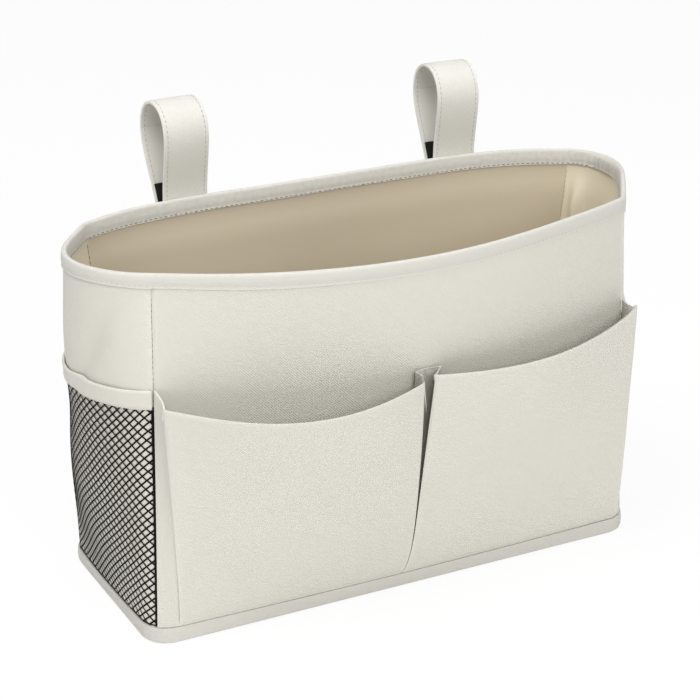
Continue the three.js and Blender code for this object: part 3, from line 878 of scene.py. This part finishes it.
def makeBaseTape():
    tape = baseTape
    reach = layers["binding"]
    upLength = tape["rise"] - tape["roundness"]
    bend = np.pi / 2 * tape["roundness"]
    under = tape["underlap"] + reach - tape["roundness"]
    whole = upLength + bend + under

    def shape(across, up):
        length = np.mod(across * roundLength[-1] + tape["joint"], roundLength[-1])
        walk = (1 - up) * whole
        angle = np.clip((walk - upLength) / bend, 0, 1) * np.pi / 2
        outward = reach - tape["roundness"] * (1 - np.cos(angle)) - np.clip(walk - upLength - bend, 0, None)
        rise = np.where(walk < upLength, tape["rise"] - walk, tape["roundness"] * (1 - np.sin(angle)))
        onSide = ease((upLength + bend / 2 - walk) / tape["sideReach"])
        fromTop = np.clip(walk, 0, upLength)
        puff = tape["puff"] * np.sin(np.pi * fromTop / (upLength + tape["puffOver"]))
        lump = tape["lump"] * ripple(length / tape["lumpAcross"], walk / tape["lumpUp"], 5)
        outward = outward + (puff + lump * np.clip(fromTop / tape["lumpReach"], 0, 1)) * onSide
        topEdge = 1 - np.clip(walk / tape["wanderReach"], 0, 1)
        wave = ripple(length / tape["wanderPitch"], 0 * length, 6)
        rise = rise - tape["edgeWander"] * topEdge * (0.5 + 0.5 * wave)
        wearAndLight = tape["bendWear"] * np.exp(-((walk - upLength - bend / 2) / tape["wearReach"]) ** 2)
        flat = np.stack([across * roundLength[-1], walk], 1)
        return wallPoint(turnAlong(length), rise, outward), flat, wearAndLight

    piece = clothGrid("base_binding_tape", tape["columns"], tape["rows"], shape)
    closeSeam(piece)
    finishCloth(piece, layers["tape"], bindingTape, "binding", "caddy", "base_binding", even=False)


makeRimTape()
makeBaseTape()
print("binding tapes made")


# net pockets: a diamond net with a cloth band on its mouth
net = {
    "footRise": 10.3, "topRise": 137.0, "standoff": 0.05, "cord": 0.95, "flatness": 0.28,
    "slack": {leftWall: 0.4, rightWall: 0.5}, "underBand": 1.0, "edgeInset": 0.3, "sway": 0.006,
    "frontDrop": {leftWall: 0.0, rightWall: 8.0}, "dropReach": 24.0,
    "waves": ((0.2, -0.222), (0.138, 0.171)),   # cords to the millimetre, along the wall and up it
    "cordShare": 0.45,
}
netBand = {
    "height": 11.0, "thickness": 1.6, "columns": 64, "rows": 30, "endInset": 0.003,
    "wave": 0.25, "wavePitch": 16.0, "topWear": 0.7, "wearReach": 1.2,
    "sewingRise": 1.8, "sewingLift": 0.05, "sewingInset": 0.01, "sewingSteps": 60,
}


def netRoom(wall, share, rise):
    climb = (rise - net["footRise"]) / (net["topRise"] - net["footRise"])
    return net["standoff"] + net["slack"][wall] * 4 * share * (1 - share) * climb


# how far the mouth hangs lower beside the front corner
def mouthDrop(wall, share):
    return net["frontDrop"][wall] * np.exp(-(share * wallLength[wall] / net["dropReach"]) ** 2)


def netTurn(wall, share):
    trim = layers["seamGap"] / 2 / wallLength[wall]
    return wall + lerp(trim, 1 - trim, share)


# the part of a polygon on one side of a line
def cutAt(polygon, axis, limit, way):
    kept = []
    for start, end in zip(polygon, polygon[1:] + polygon[:1]):
        inA, inB = way * (start[axis] - limit) <= 0, way * (end[axis] - limit) <= 0
        if inA:
            kept.append(start)
        if inA != inB:
            kept.append(lerp(start, end, (limit - start[axis]) / (end[axis] - start[axis])))
    return kept


# the meshes between two families of cords, cut to the size of the panel
def netCells(wall, length, tall):
    waves = np.array(net["waves"]) * [1 if wall == leftWall else -1, 1]
    steps = np.linalg.inv(waves)
    reach = waves @ np.array([(0, 0), (length, 0), (length, tall), (0, tall)]).T
    low, high = np.floor(reach.min(1)).astype(int), np.ceil(reach.max(1)).astype(int)
    outline = [(0, 0), (0.5, 0), (1, 0), (1, 0.5), (1, 1), (0.5, 1), (0, 1), (0, 0.5)]
    if np.linalg.det(steps) < 0:
        outline.reverse()
    spots, faces = {}, []
    for first in range(low[0], high[0]):
        for second in range(low[1], high[1]):
            cell = [steps @ (first + a, second + b) for a, b in outline]
            for axis, limit, way in ((0, 0, -1), (0, length, 1), (1, 0, -1), (1, tall, 1)):
                cell = cutAt(cell, axis, limit, way)
            keys = list(dict.fromkeys((round(x, 3), round(y, 3)) for x, y in cell))
            if len(keys) > 2 and np.ptp(np.array(keys), axis=0).min() > net["cord"]:
                faces.append([spots.setdefault(key, len(spots)) for key in keys])
    return [(x, y, 0.0) for x, y in spots], faces


def makeNet(side, wall):
    length = wallLength[wall]
    foot = net["footRise"] + net["cord"] / 2
    top = net["topRise"] + net["underBand"]
    height = top - foot
    spots, faces = netCells(wall, length, height)
    mesh = bpy.data.meshes.new(f"{side}_net_cords")
    mesh.from_pydata((np.array(spots) * mm).tolist(), [], faces)
    piece = bpy.data.objects.new(f"{side}_net_cords", mesh)
    scene.collection.objects.link(piece)
    # the cords get their section while the net lies flat
    finishWith(
        piece, "WIREFRAME", thickness=net["cord"] * mm, offset=0.0, use_even_offset=True,
        use_relative_offset=False, use_boundary=True, use_replace=True,
    )
    places = np.array([v.co for v in piece.data.vertices]) / mm
    share, up = places[:, 0] / length, places[:, 1] / height
    rise = lerp(foot, top - mouthDrop(wall, share), up)
    outward = netRoom(wall, share, rise) + net["flatness"] * (net["cord"] / 2 + places[:, 2])
    wave = net["sway"] * np.sin(up * 9 + share * 5) * np.sin(np.pi * share)
    edge = net["edgeInset"] * net["cord"] / length
    turn = netTurn(wall, lerp(edge, 1 - edge, share + wave))
    layCloth(piece, wallPoint(turn, rise, outward), places[:, :2], 0.0)
    only(piece)
    bpy.ops.object.shade_smooth()
    dress(piece, netCord, "net", "caddy", f"{side}_net")


def makeNetBand(side, wall):
    half = netBand["thickness"] / 2
    foot = net["topRise"] + layers["gap"]
    top = net["topRise"] + netBand["height"]
    straight = top - foot - 2 * half
    bend = np.pi * half
    whole = 2 * (straight + bend)
    length = wallLength[wall]

    def bandRoom(share, rise):
        wave = netBand["wave"] * ripple(share * length / netBand["wavePitch"], 0 * share, wall)
        return netRoom(wall, share, rise) + wave * np.sin(np.pi * share)

    # the band is folded double: its section is a long flat loop
    def shape(across, up):
        share = lerp(netBand["endInset"], 1 - netBand["endInset"], across)
        walk = up * whole
        first = np.clip(walk / straight, 0, 1)
        topTurn = np.clip((walk - straight) / bend, 0, 1) * np.pi
        back = np.clip((walk - straight - bend) / straight, 0, 1)
        footTurn = np.clip((walk - 2 * straight - bend) / bend, 0, 1) * np.pi
        rise = foot + half + straight * (first - back)
        rise = rise + half * np.sin(topTurn) - half * np.sin(footTurn)
        middle = np.cos(topTurn) * (footTurn <= 0) - np.cos(footTurn) * (footTurn > 0)
        outward = bandRoom(share, rise) + half * (1 + middle)
        wearAndLight = netBand["topWear"] * np.exp(-((rise - top) / netBand["wearReach"]) ** 2)
        flat = np.stack([share * length, walk], 1)
        return wallPoint(netTurn(wall, share), rise - mouthDrop(wall, share), outward), flat, wearAndLight

    piece = clothGrid(f"{side}_net_band_cloth", netBand["columns"], netBand["rows"], shape)
    closeSeam(piece)
    capEnds(piece)
    smooth(piece)
    dress(piece, outerCloth, "outer_cloth", "caddy", f"{side}_net_band")
    share = np.linspace(netBand["sewingInset"], 1 - netBand["sewingInset"], netBand["sewingSteps"])
    row = foot + netBand["sewingRise"] - mouthDrop(wall, share)
    turn = netTurn(wall, share)
    room = bandRoom(share, foot + netBand["sewingRise"])
    line = wallPoint(turn, row, room + netBand["thickness"] + netBand["sewingLift"])
    sewing = sewAs(
        f"{side}_band_sewing", [sewLine(f"{side}_band_sewing", line, outwardAt(turn, row))],
        sewingThread, "outer_cloth", "caddy",
    )


# closes the open ends of a tube of cloth
def capEnds(piece):
    only(piece)
    bpy.ops.object.mode_set(mode="EDIT")
    bpy.ops.mesh.select_mode(type="EDGE")
    bpy.ops.mesh.select_all(action="DESELECT")
    bpy.ops.mesh.select_non_manifold()
    bpy.ops.mesh.edge_face_add()
    bpy.ops.mesh.select_all(action="SELECT")
    bpy.ops.mesh.normals_make_consistent(inside=False)
    bpy.ops.object.mode_set(mode="OBJECT")


for sideName, sideWall in (("left", leftWall), ("right", rightWall)):
    makeNet(sideName, sideWall)
    makeNetBand(sideName, sideWall)
print("net pockets made")


# front pockets: two faces, the folded strips at the corners and the pleat between them
pocket = {
    "footRise": 10.3, "mouthSag": 4.0, "centreDepth": 9.3,
    "gussetTopReach": 6.0, "gussetSeamInset": 0.5,
    "pleatCentre": -3.5, "pleatMouthWidth": 6.0, "pleatFootWidth": 0.5, "pleatWidening": 2.3,
    "pleatWander": 4.9, "wanderReach": 0.085, "cornerLiftReach": 0.07,
    "hem": 11.0, "hemRadius": 0.9, "hemInset": 0.012, "hemInsetReach": 2.0,
    "edgeRoll": 1.4, "edgeReach": 2.0, "footTuck": 1.1, "tuckReach": 2.2,
    "ripple": 0.35, "rippleAcross": 26.0, "rippleUp": 31.0, "quietFoot": 0.2, "quietEdge": 14.0,
    "mouthWear": 0.9, "mouthWearReach": 1.3, "edgeWear": 0.5, "edgeWearReach": 1.2,
    "columns": 64, "rows": 56, "creaseAngle": 60, "cutEase": 1.05,
}
pocket["footDepth"] = 2 * (layers["cloth"] + layers["gap"])
pocketSides = {
    "left": {
        "way": 1, "bulge": 19.0, "cornerDepth": 12.5, "swell": 1.0, "topRise": 144.0, "seamRise": 148.0,
        "footReach": 12.0, "cornerLift": 0.0, "rippleSeed": 7,
    },
    "right": {
        "way": -1, "bulge": 6.0, "cornerDepth": 11.2, "swell": 0.42, "topRise": 147.0, "seamRise": 148.0,
        "footReach": 9.5, "cornerLift": 2.0, "rippleSeed": 9,
    },
}


# the sewn line of the pleat swings to the right above its foot and comes back at the mouth
def pleatCentre(climb):
    climb = np.clip(climb, 0, 1)
    aside = (1 - climb) * (1 - np.exp(-climb / pocket["wanderReach"]))
    return pocket["pleatCentre"] + pocket["pleatWander"] * aside


def pocketHalf(side, climb):
    return wallLength[frontWall] / 2 + pocketSides[side]["way"] * pleatCentre(climb)


def pocketTurn(side, reach):
    share = reach / wallLength[frontWall]
    return share if pocketSides[side]["way"] > 0 else 1 - share


def pleatWidth(climb):
    opened = np.clip(climb, 0, 1) ** pocket["pleatWidening"]
    return lerp(pocket["pleatFootWidth"], pocket["pleatMouthWidth"], opened)


def cornerFold(side, climb):
    return lerp(pocketSides[side]["footReach"], pocket["gussetTopReach"], climb)


def pocketDepth(side, share, climb):
    sag = pocketSides[side]["bulge"] * np.sin(np.pi * share)
    corner = pocketSides[side]["cornerDepth"] * climb ** pocketSides[side]["swell"]
    return pocket["footDepth"] + lerp(corner, climb * pocket["centreDepth"], share) + climb * sag


def pocketTop(side, share):
    lift = pocketSides[side]["cornerLift"] * np.exp(-share / pocket["cornerLiftReach"])
    return pocketSides[side]["topRise"] + lift - pocket["mouthSag"] * np.sin(np.pi * share)


def makePocketFace(side):
    way = pocketSides[side]["way"]
    radius = pocket["hemRadius"]
    tall = pocketSides[side]["topRise"] - pocket["footRise"]
    over = np.pi * radius
    whole = tall - radius + over + pocket["hem"]

    def shape(across, up):
        share = endSpaced(across) if way > 0 else 1 - endSpaced(across)
        top = pocketTop(side, share)
        height = top - radius - pocket["footRise"]
        walk = up * whole
        onFace = np.clip(walk / (tall - radius), 0, 1)
        angle = np.clip((walk - tall + radius) / over, 0, 1) * np.pi
        back = np.clip(walk - tall + radius - over, 0, None)
        rise = pocket["footRise"] + height * onFace + radius * np.sin(angle) - back
        climb = np.clip((rise - pocket["footRise"]) / (top - pocket["footRise"]), 0, 1)
        fold = cornerFold(side, climb)
        end = pocketHalf(side, climb) - pleatWidth(climb) / 2
        hemIn = pocket["hemInset"] * ease(back / pocket["hemInsetReach"])
        reach = lerp(fold, end, lerp(hemIn, 1 - hemIn, share))
        outward = pocketDepth(side, share, climb) - radius * (1 - np.cos(angle))
        edge = np.minimum(share * (end - fold), (1 - share) * (end - fold))
        outward = outward - pocket["edgeRoll"] * np.clip(1 - edge / pocket["edgeReach"], 0, 1) ** 2 * climb
        tuck = np.exp(-((rise - pocket["footRise"]) / pocket["tuckReach"]) ** 2)
        outward = outward - pocket["footTuck"] * tuck
        quiet = ease(climb / pocket["quietFoot"]) * ease(edge / pocket["quietEdge"])
        seed = pocketSides[side]["rippleSeed"]
        wave = ripple(reach / pocket["rippleAcross"], rise / pocket["rippleUp"], seed)
        outward = outward + pocket["ripple"] * quiet * wave
        wearAndLight = pocket["mouthWear"] * np.exp(-((rise - top) / pocket["mouthWearReach"]) ** 2)
        wearAndLight = wearAndLight + pocket["edgeWear"] * np.exp(-edge / pocket["edgeWearReach"])
        return wallPoint(pocketTurn(side, reach), rise, outward), np.stack([way * reach, walk], 1), wearAndLight

    piece = clothGrid(f"{side}_pocket_cloth", pocket["columns"], pocket["rows"], shape)
    finishCloth(
        piece, layers["cloth"], outerCloth, "outer_cloth", f"{side}_pocket", f"{side}_pocket_face",
        degrees=pocket["creaseAngle"],
    )


# the strip between the front corner's seam and the outer edge of a pocket's face
gusset = {
    "columns": 16, "rows": 48, "drawIn": 0.6, "foldLap": 0.5,
    "footHollow": 0.6, "addedHollow": 0.9, "topTuck": 2.0,
    "foldWear": 0.5, "foldWearReach": 2.0, "mouthWear": 0.6, "mouthPaleFade": 100.0,
    "bendFrom": 0.15, "bendSpots": 20,
}


def makeGusset(side):
    way = pocketSides[side]["way"]
    topRise = pocketSides[side]["topRise"]

    def place(across, climb):
        wallFace = layers["cloth"] + layers["gap"]
        outer = pocketDepth(side, 0.0, climb) - layers["cloth"] - layers["gap"] - gusset["drawIn"] * climb
        seam = np.stack([0 * climb + pocket["gussetSeamInset"], 0 * climb + wallFace], 1)
        fold = np.stack([cornerFold(side, climb) + gusset["foldLap"], outer], 1)
        along = fold - seam
        long = np.linalg.norm(along, axis=1, keepdims=True)
        normal = np.stack([along[:, 1], -along[:, 0]], 1) / long
        hollow = (gusset["addedHollow"] * climb + gusset["footHollow"]) * np.sin(np.pi * across)
        spot = seam + along * across[:, None] + normal * hollow[:, None]
        top = lerp(pocketSides[side]["seamRise"], pocketTop(side, 0.0) - gusset["topTuck"], across)
        rise = lerp(pocket["footRise"], top, climb)
        return wallPoint(pocketTurn(side, spot[:, 0]), rise, spot[:, 1]), long[:, 0]

    def shape(across, up):
        sheetAcross = across if way > 0 else 1 - across
        points, long = place(sheetAcross, up)
        flat = np.stack([way * sheetAcross * long, up * topRise], 1)
        wearAndLight = gusset["foldWear"] * np.exp(-(1 - sheetAcross) * long / gusset["foldWearReach"])
        wearAndLight = wearAndLight + gusset["mouthWear"] * np.exp(-(1 - up) * gusset["mouthPaleFade"])
        return points, flat, wearAndLight

    piece = clothGrid(f"{side}_gusset_cloth", gusset["columns"], gusset["rows"], shape)
    finishCloth(piece, layers["cloth"], outerCloth, "outer_cloth", None, f"{side}_pocket_gusset")
    bendBetween(piece)


# the pleat is cut in two halves, so that each follows its own pocket
pleat = {
    "footRise": 40.0, "topLift": 2.6, "rows": 44, "columns": 18, "mouthGap": 0.4, "faceGap": 0.1,
    "corner": {"left": 4.2, "right": 9.5}, "cornerDepth": {"left": 3.2, "right": 2.6}, "cornerShare": 0.8,
    "apex": 2.5, "spread": 1.5, "floorDepth": 1.15, "legShare": 0.55, "stillShare": 0.6,
    "mouthPaleFade": 15.0, "bendSpots": 20,
}


def makePleat(side):
    way = pocketSides[side]["way"]
    topRise = pocketSides["left"]["topRise"]
    first = (pleat["footRise"] - pocket["footRise"]) / (topRise - pocket["footRise"])

    def place(across, climb):
        mouth = pleatWidth(climb) / 2 + pleat["mouthGap"]
        faceBack = pocketDepth(side, 1.0, climb) - layers["cloth"]
        faceEdge = faceBack - pocket["edgeRoll"] * climb - pleat["faceGap"]
        corner = lerp(mouth, pleat["corner"][side], climb ** pleat["spread"])
        apex = -way * pleat["apex"] * climb ** pleat["spread"]
        cornerDepth = np.minimum(faceEdge * pleat["cornerShare"], pleat["cornerDepth"][side])
        leg = np.stack([corner - mouth, cornerDepth - faceEdge], 1)
        floor = np.stack([apex - corner, pleat["floorDepth"] - cornerDepth], 1)
        onLeg = np.clip(across / pleat["legShare"], 0, 1)[:, None]
        onFloor = np.clip((across - pleat["legShare"]) / (1 - pleat["legShare"]), 0, 1)[:, None]
        spot = np.stack([mouth, faceEdge], 1) + leg * onLeg + floor * onFloor
        turn = 0.5 + (pleatCentre(climb) - way * spot[:, 0]) / wallLength[frontWall]
        rise = lerp(pocket["footRise"], topRise + pleat["topLift"], climb)
        long = np.linalg.norm(leg, axis=1) + np.linalg.norm(floor, axis=1)
        return wallPoint(turn, rise, spot[:, 1]), long

    def shape(across, up):
        sheetAcross = 1 - across if way < 0 else across
        climb = lerp(first, 1.0, up)
        points, long = place(sheetAcross, climb)
        flat = np.stack([sheetAcross * long * way, up * (topRise - pleat["footRise"])], 1)
        # painted light: the darkened pleat turns towards the paler colour at its mouth, where light reaches
        # into the slot
        return points, flat, np.exp(-(1 - up) * pleat["mouthPaleFade"])

    piece = clothGrid(f"{side}_pleat_cloth", pleat["columns"], pleat["rows"], shape)
    # painted shade: the pleat takes the darkened cloth
    finishCloth(piece, layers["cloth"], pleatShadeCloth, "outer_cloth", None, "centre_pleat")
    bendBetween(piece)


for sideName in ("left", "right"):
    makePocketFace(sideName)
    makeGusset(sideName)
    makePleat(sideName)
print("front pockets made")


# hanging straps: a sewn leg with loop tape, a crest that bends and a tail with hook tape
strap = {
    "spacing": 161.3, "centre": -2.7, "width": 26.0, "thickness": 1.6, "footRise": 150.0,
    "crest": 50.8, "loopFront": -1.9, "loopBack": 29.0, "mergeRise": 186.0, "drape": 24.0,
    "tapeWidth": 24.0, "tapeThickness": 1.0, "loopTapeLength": 44.0, "hookTapeLength": 68.0,
    "tapeEndInset": 3.0, "tapeSink": 0.1, "across": 14,
    "legRows": 90, "tailRows": 70, "hookRows": 50, "loopRows": 40,
    # the teardrop: shares of the crest and of the loop's width
    "waist": 0.66, "shoulder": 0.19, "roundness": 0.32, "rootLift": 12.0, "tailShoulder": 1.6,
    "cup": 0.25, "pressReach": 0.7, "pressDepth": 0.7, "edgeWear": 0.8, "wearReach": 0.9,
    "bevelShare": 0.3, "bendHalf": 10.0, "bendMargin": 0.13,
    "stitchInset": 2.0, "stitchLift": 0.02, "stitches": {"pitch": 2.8, "width": 0.5, "height": 0.4},
}
strap["halfStack"] = (strap["thickness"] + strap["tapeThickness"]) / 2
strap["offset"] = layers["binding"] + layers["gap"] + strap["thickness"] / 2
strap["loopTapeOffset"] = strap["offset"] + strap["halfStack"] + layers["gap"]
strap["hookTapeOffset"] = strap["loopTapeOffset"] + strap["tapeThickness"] + layers["gap"]
strap["tailOffset"] = strap["hookTapeOffset"] + strap["halfStack"] + layers["gap"]


def strapLines(side):
    way = -1 if side == "left" else 1
    across = strap["centre"] + way * strap["spacing"] / 2
    turn = backWall + 0.5 - across / wallLength[backWall]
    rim = wallPoint(turn, boxCut["height"], 0.0)
    outward = outwardAt(turn, boxCut["height"])

    def beside(rise, offset):
        spot = wallPoint(turn, rise, 0.0)
        return np.array([(spot - rim).dot(outward) + offset, spot[2]])

    # a soft teardrop: the leg bows forward over the rim, and the tail falls back to the wall
    top = np.array([(strap["loopFront"] + strap["loopBack"]) / 2, rim[2] + strap["crest"]])
    root = beside(boxCut["height"], strap["offset"])
    front = np.array([strap["loopFront"], rim[2] + strap["waist"] * strap["crest"]])
    far = np.array([strap["loopBack"], rim[2] + strap["waist"] * strap["crest"]])
    high = np.array([0, strap["shoulder"] * strap["crest"]])
    wide = np.array([(strap["loopBack"] - strap["loopFront"]) * strap["roundness"], 0])
    rising = bezier([root, root + [0, strap["rootLift"]], front - high, front], 30)
    crest = np.concatenate([
        bezier([front, front + high, top - wide, top], 24),
        bezier([top, top + wide, far + high, far], 24)[1:],
    ])
    merge = beside(strap["mergeRise"], strap["tailOffset"])
    tailEnd = beside(strap["footRise"], strap["tailOffset"])
    down = (merge - tailEnd) / np.linalg.norm(merge - tailEnd)
    drape = bezier([far, far - high * strap["tailShoulder"], merge + down * strap["drape"], merge], 60)
    legRises = np.linspace(strap["footRise"], boxCut["height"], 20)
    leg = np.array([beside(rise, strap["offset"]) for rise in legRises])
    straightTail = np.array([lerp(merge, tailEnd, s) for s in np.linspace(0, 1, 14)[1:]])
    legLine = np.concatenate([leg[:-1], rising[:-1], crest])
    tailLine = np.concatenate([drape, straightTail])
    return {
        "foot": np.array([rim[0], rim[1], 0.0]), "outward": outward,
        "along": np.array([-outward[1], outward[0], 0.0]),
        "leg": leg, "crest": crest, "legLine": legLine, "tailLine": tailLine,
    }


# from a side view of the strap, out and up, to its place in the box
def strapSpots(cut, spots, wide):
    upright = np.array([0, 0, 1.0]) * spots[:, 1:]
    return cut["foot"] - cut["along"] * np.reshape(wide, (-1, 1)) + cut["outward"] * spots[:, :1] + upright


def sideNormals(line):
    step = np.gradient(line, axis=0)
    step /= np.linalg.norm(step, axis=1, keepdims=True)
    return np.stack([-step[:, 1], step[:, 0]], 1)


def partOf(line, start, end):
    lengths = np.concatenate([[0], np.cumsum(np.linalg.norm(np.diff(line, axis=0), axis=1))])
    places = np.linspace(start, end, 60)
    return np.stack([np.interp(places, lengths, line[:, k]) for k in (0, 1)], 1)


def strapSheet(name, cut, line, width, thickness, rows, lift=0.0, cup=0.0):
    line = evenly(line, rows)
    normals = sideNormals(line)
    length = np.linalg.norm(np.diff(line, axis=0), axis=1).sum()

    def shape(across, up):
        order = np.rint(up * rows).astype(int)
        wide = (endSpaced(across) - 0.5) * width
        edge = width / 2 - np.abs(wide)
        pressed = np.exp(-((edge - strap["stitchInset"]) / strap["pressReach"]) ** 2)
        raised = lift + cup * (np.cos(np.pi * wide / width) - strap["pressDepth"] * pressed)
        spots = line[order] + normals[order] * raised[:, None]
        wearAndLight = strap["edgeWear"] * np.exp(-edge / strap["wearReach"])
        return strapSpots(cut, spots, wide), np.stack([wide, up * length], 1), wearAndLight

    piece = clothGrid(name, strap["across"], rows, shape)
    thicken(piece, thickness, offset=0.0)
    finishWith(
        piece, "BEVEL", width=strap["bevelShare"] * thickness * mm, segments=2, limit_method="ANGLE",
        angle_limit=np.radians(60),
    )
    smooth(piece, 40)
    return piece, length


def strapSewing(name, cut, line, body):
    line = evenly(line, 120)
    normals = sideNormals(line)
    rows = []
    for edge in (-1, 1):
        for face in (-1, 1):
            spots = line + normals * face * (strap["thickness"] / 2 + strap["stitchLift"])
            wide = edge * (strap["width"] / 2 - strap["stitchInset"])
            points = strapSpots(cut, spots, np.full(len(spots), wide))
            up = (cut["outward"] * normals[:, :1] + np.array([0, 0, 1.0]) * normals[:, 1:]) * face
            rows.append(sewLine(f"{name}_{len(rows)}", points, up, **strap["stitches"]))
    return sewAs(name, rows, dullThread, "strap", body)


def makeStrap(side):
    cut = strapLines(side)
    body = f"{side}_tail"
    width, thick = strap["width"], strap["thickness"]

    # the leg stays with the box: the spots at the ends of its leg and crest are worked out, and the piece is
    # baked in place
    def bend(piece):
        wide = np.array([-strap["bendHalf"], strap["bendHalf"]])
        still = np.concatenate([strapSpots(cut, cut[k][:1].repeat(2, 0), wide) for k in ("leg", "crest")])
        moving = strapSpots(cut, cut["crest"][-1:].repeat(2, 0), wide)
        bendBetween(piece)

    leg, legLength = strapSheet(
        f"{side}_strap_leg", cut, cut["legLine"], width, thick, strap["legRows"], cup=strap["cup"],
    )
    dress(leg, strapCloth, "strap", None, f"{side}_strap")
    bend(leg)
    sewing = strapSewing(f"{side}_leg_sewing", cut, cut["legLine"], None)
    bend(sewing)

    tail, tailLength = strapSheet(
        f"{side}_strap_end", cut, cut["tailLine"], width, thick, strap["tailRows"], cup=strap["cup"],
    )
    dress(tail, strapCloth, "strap", body, f"{side}_strap_tail")
    sewing = strapSewing(f"{side}_tail_sewing", cut, cut["tailLine"], body)

    inset, tapeWidth, tape = strap["tapeEndInset"], strap["tapeWidth"], strap["tapeThickness"]
    hookLine = partOf(cut["tailLine"], tailLength - strap["hookTapeLength"], tailLength - inset)
    lift = -strap["halfStack"] - layers["gap"] + strap["tapeSink"]
    hook, hookLength = strapSheet(
        f"{side}_hook_strip", cut, hookLine, tapeWidth, tape, strap["hookRows"], lift=lift,
    )
    dress(hook, hookLoopTape, "hook_tape", body, f"{side}_hook_tape")

    loopLine = partOf(cut["leg"], inset, inset + strap["loopTapeLength"])
    loop, loopLength = strapSheet(
        f"{side}_loop_strip", cut, loopLine, tapeWidth, tape, strap["loopRows"], lift=lift,
    )
    dress(loop, hookLoopTape, "hook_tape", "caddy", f"{side}_loop_tape")


for sideName in ("left", "right"):
    makeStrap(sideName)
print("straps made")

bpy.ops.object.select_all(action="DESELECT")
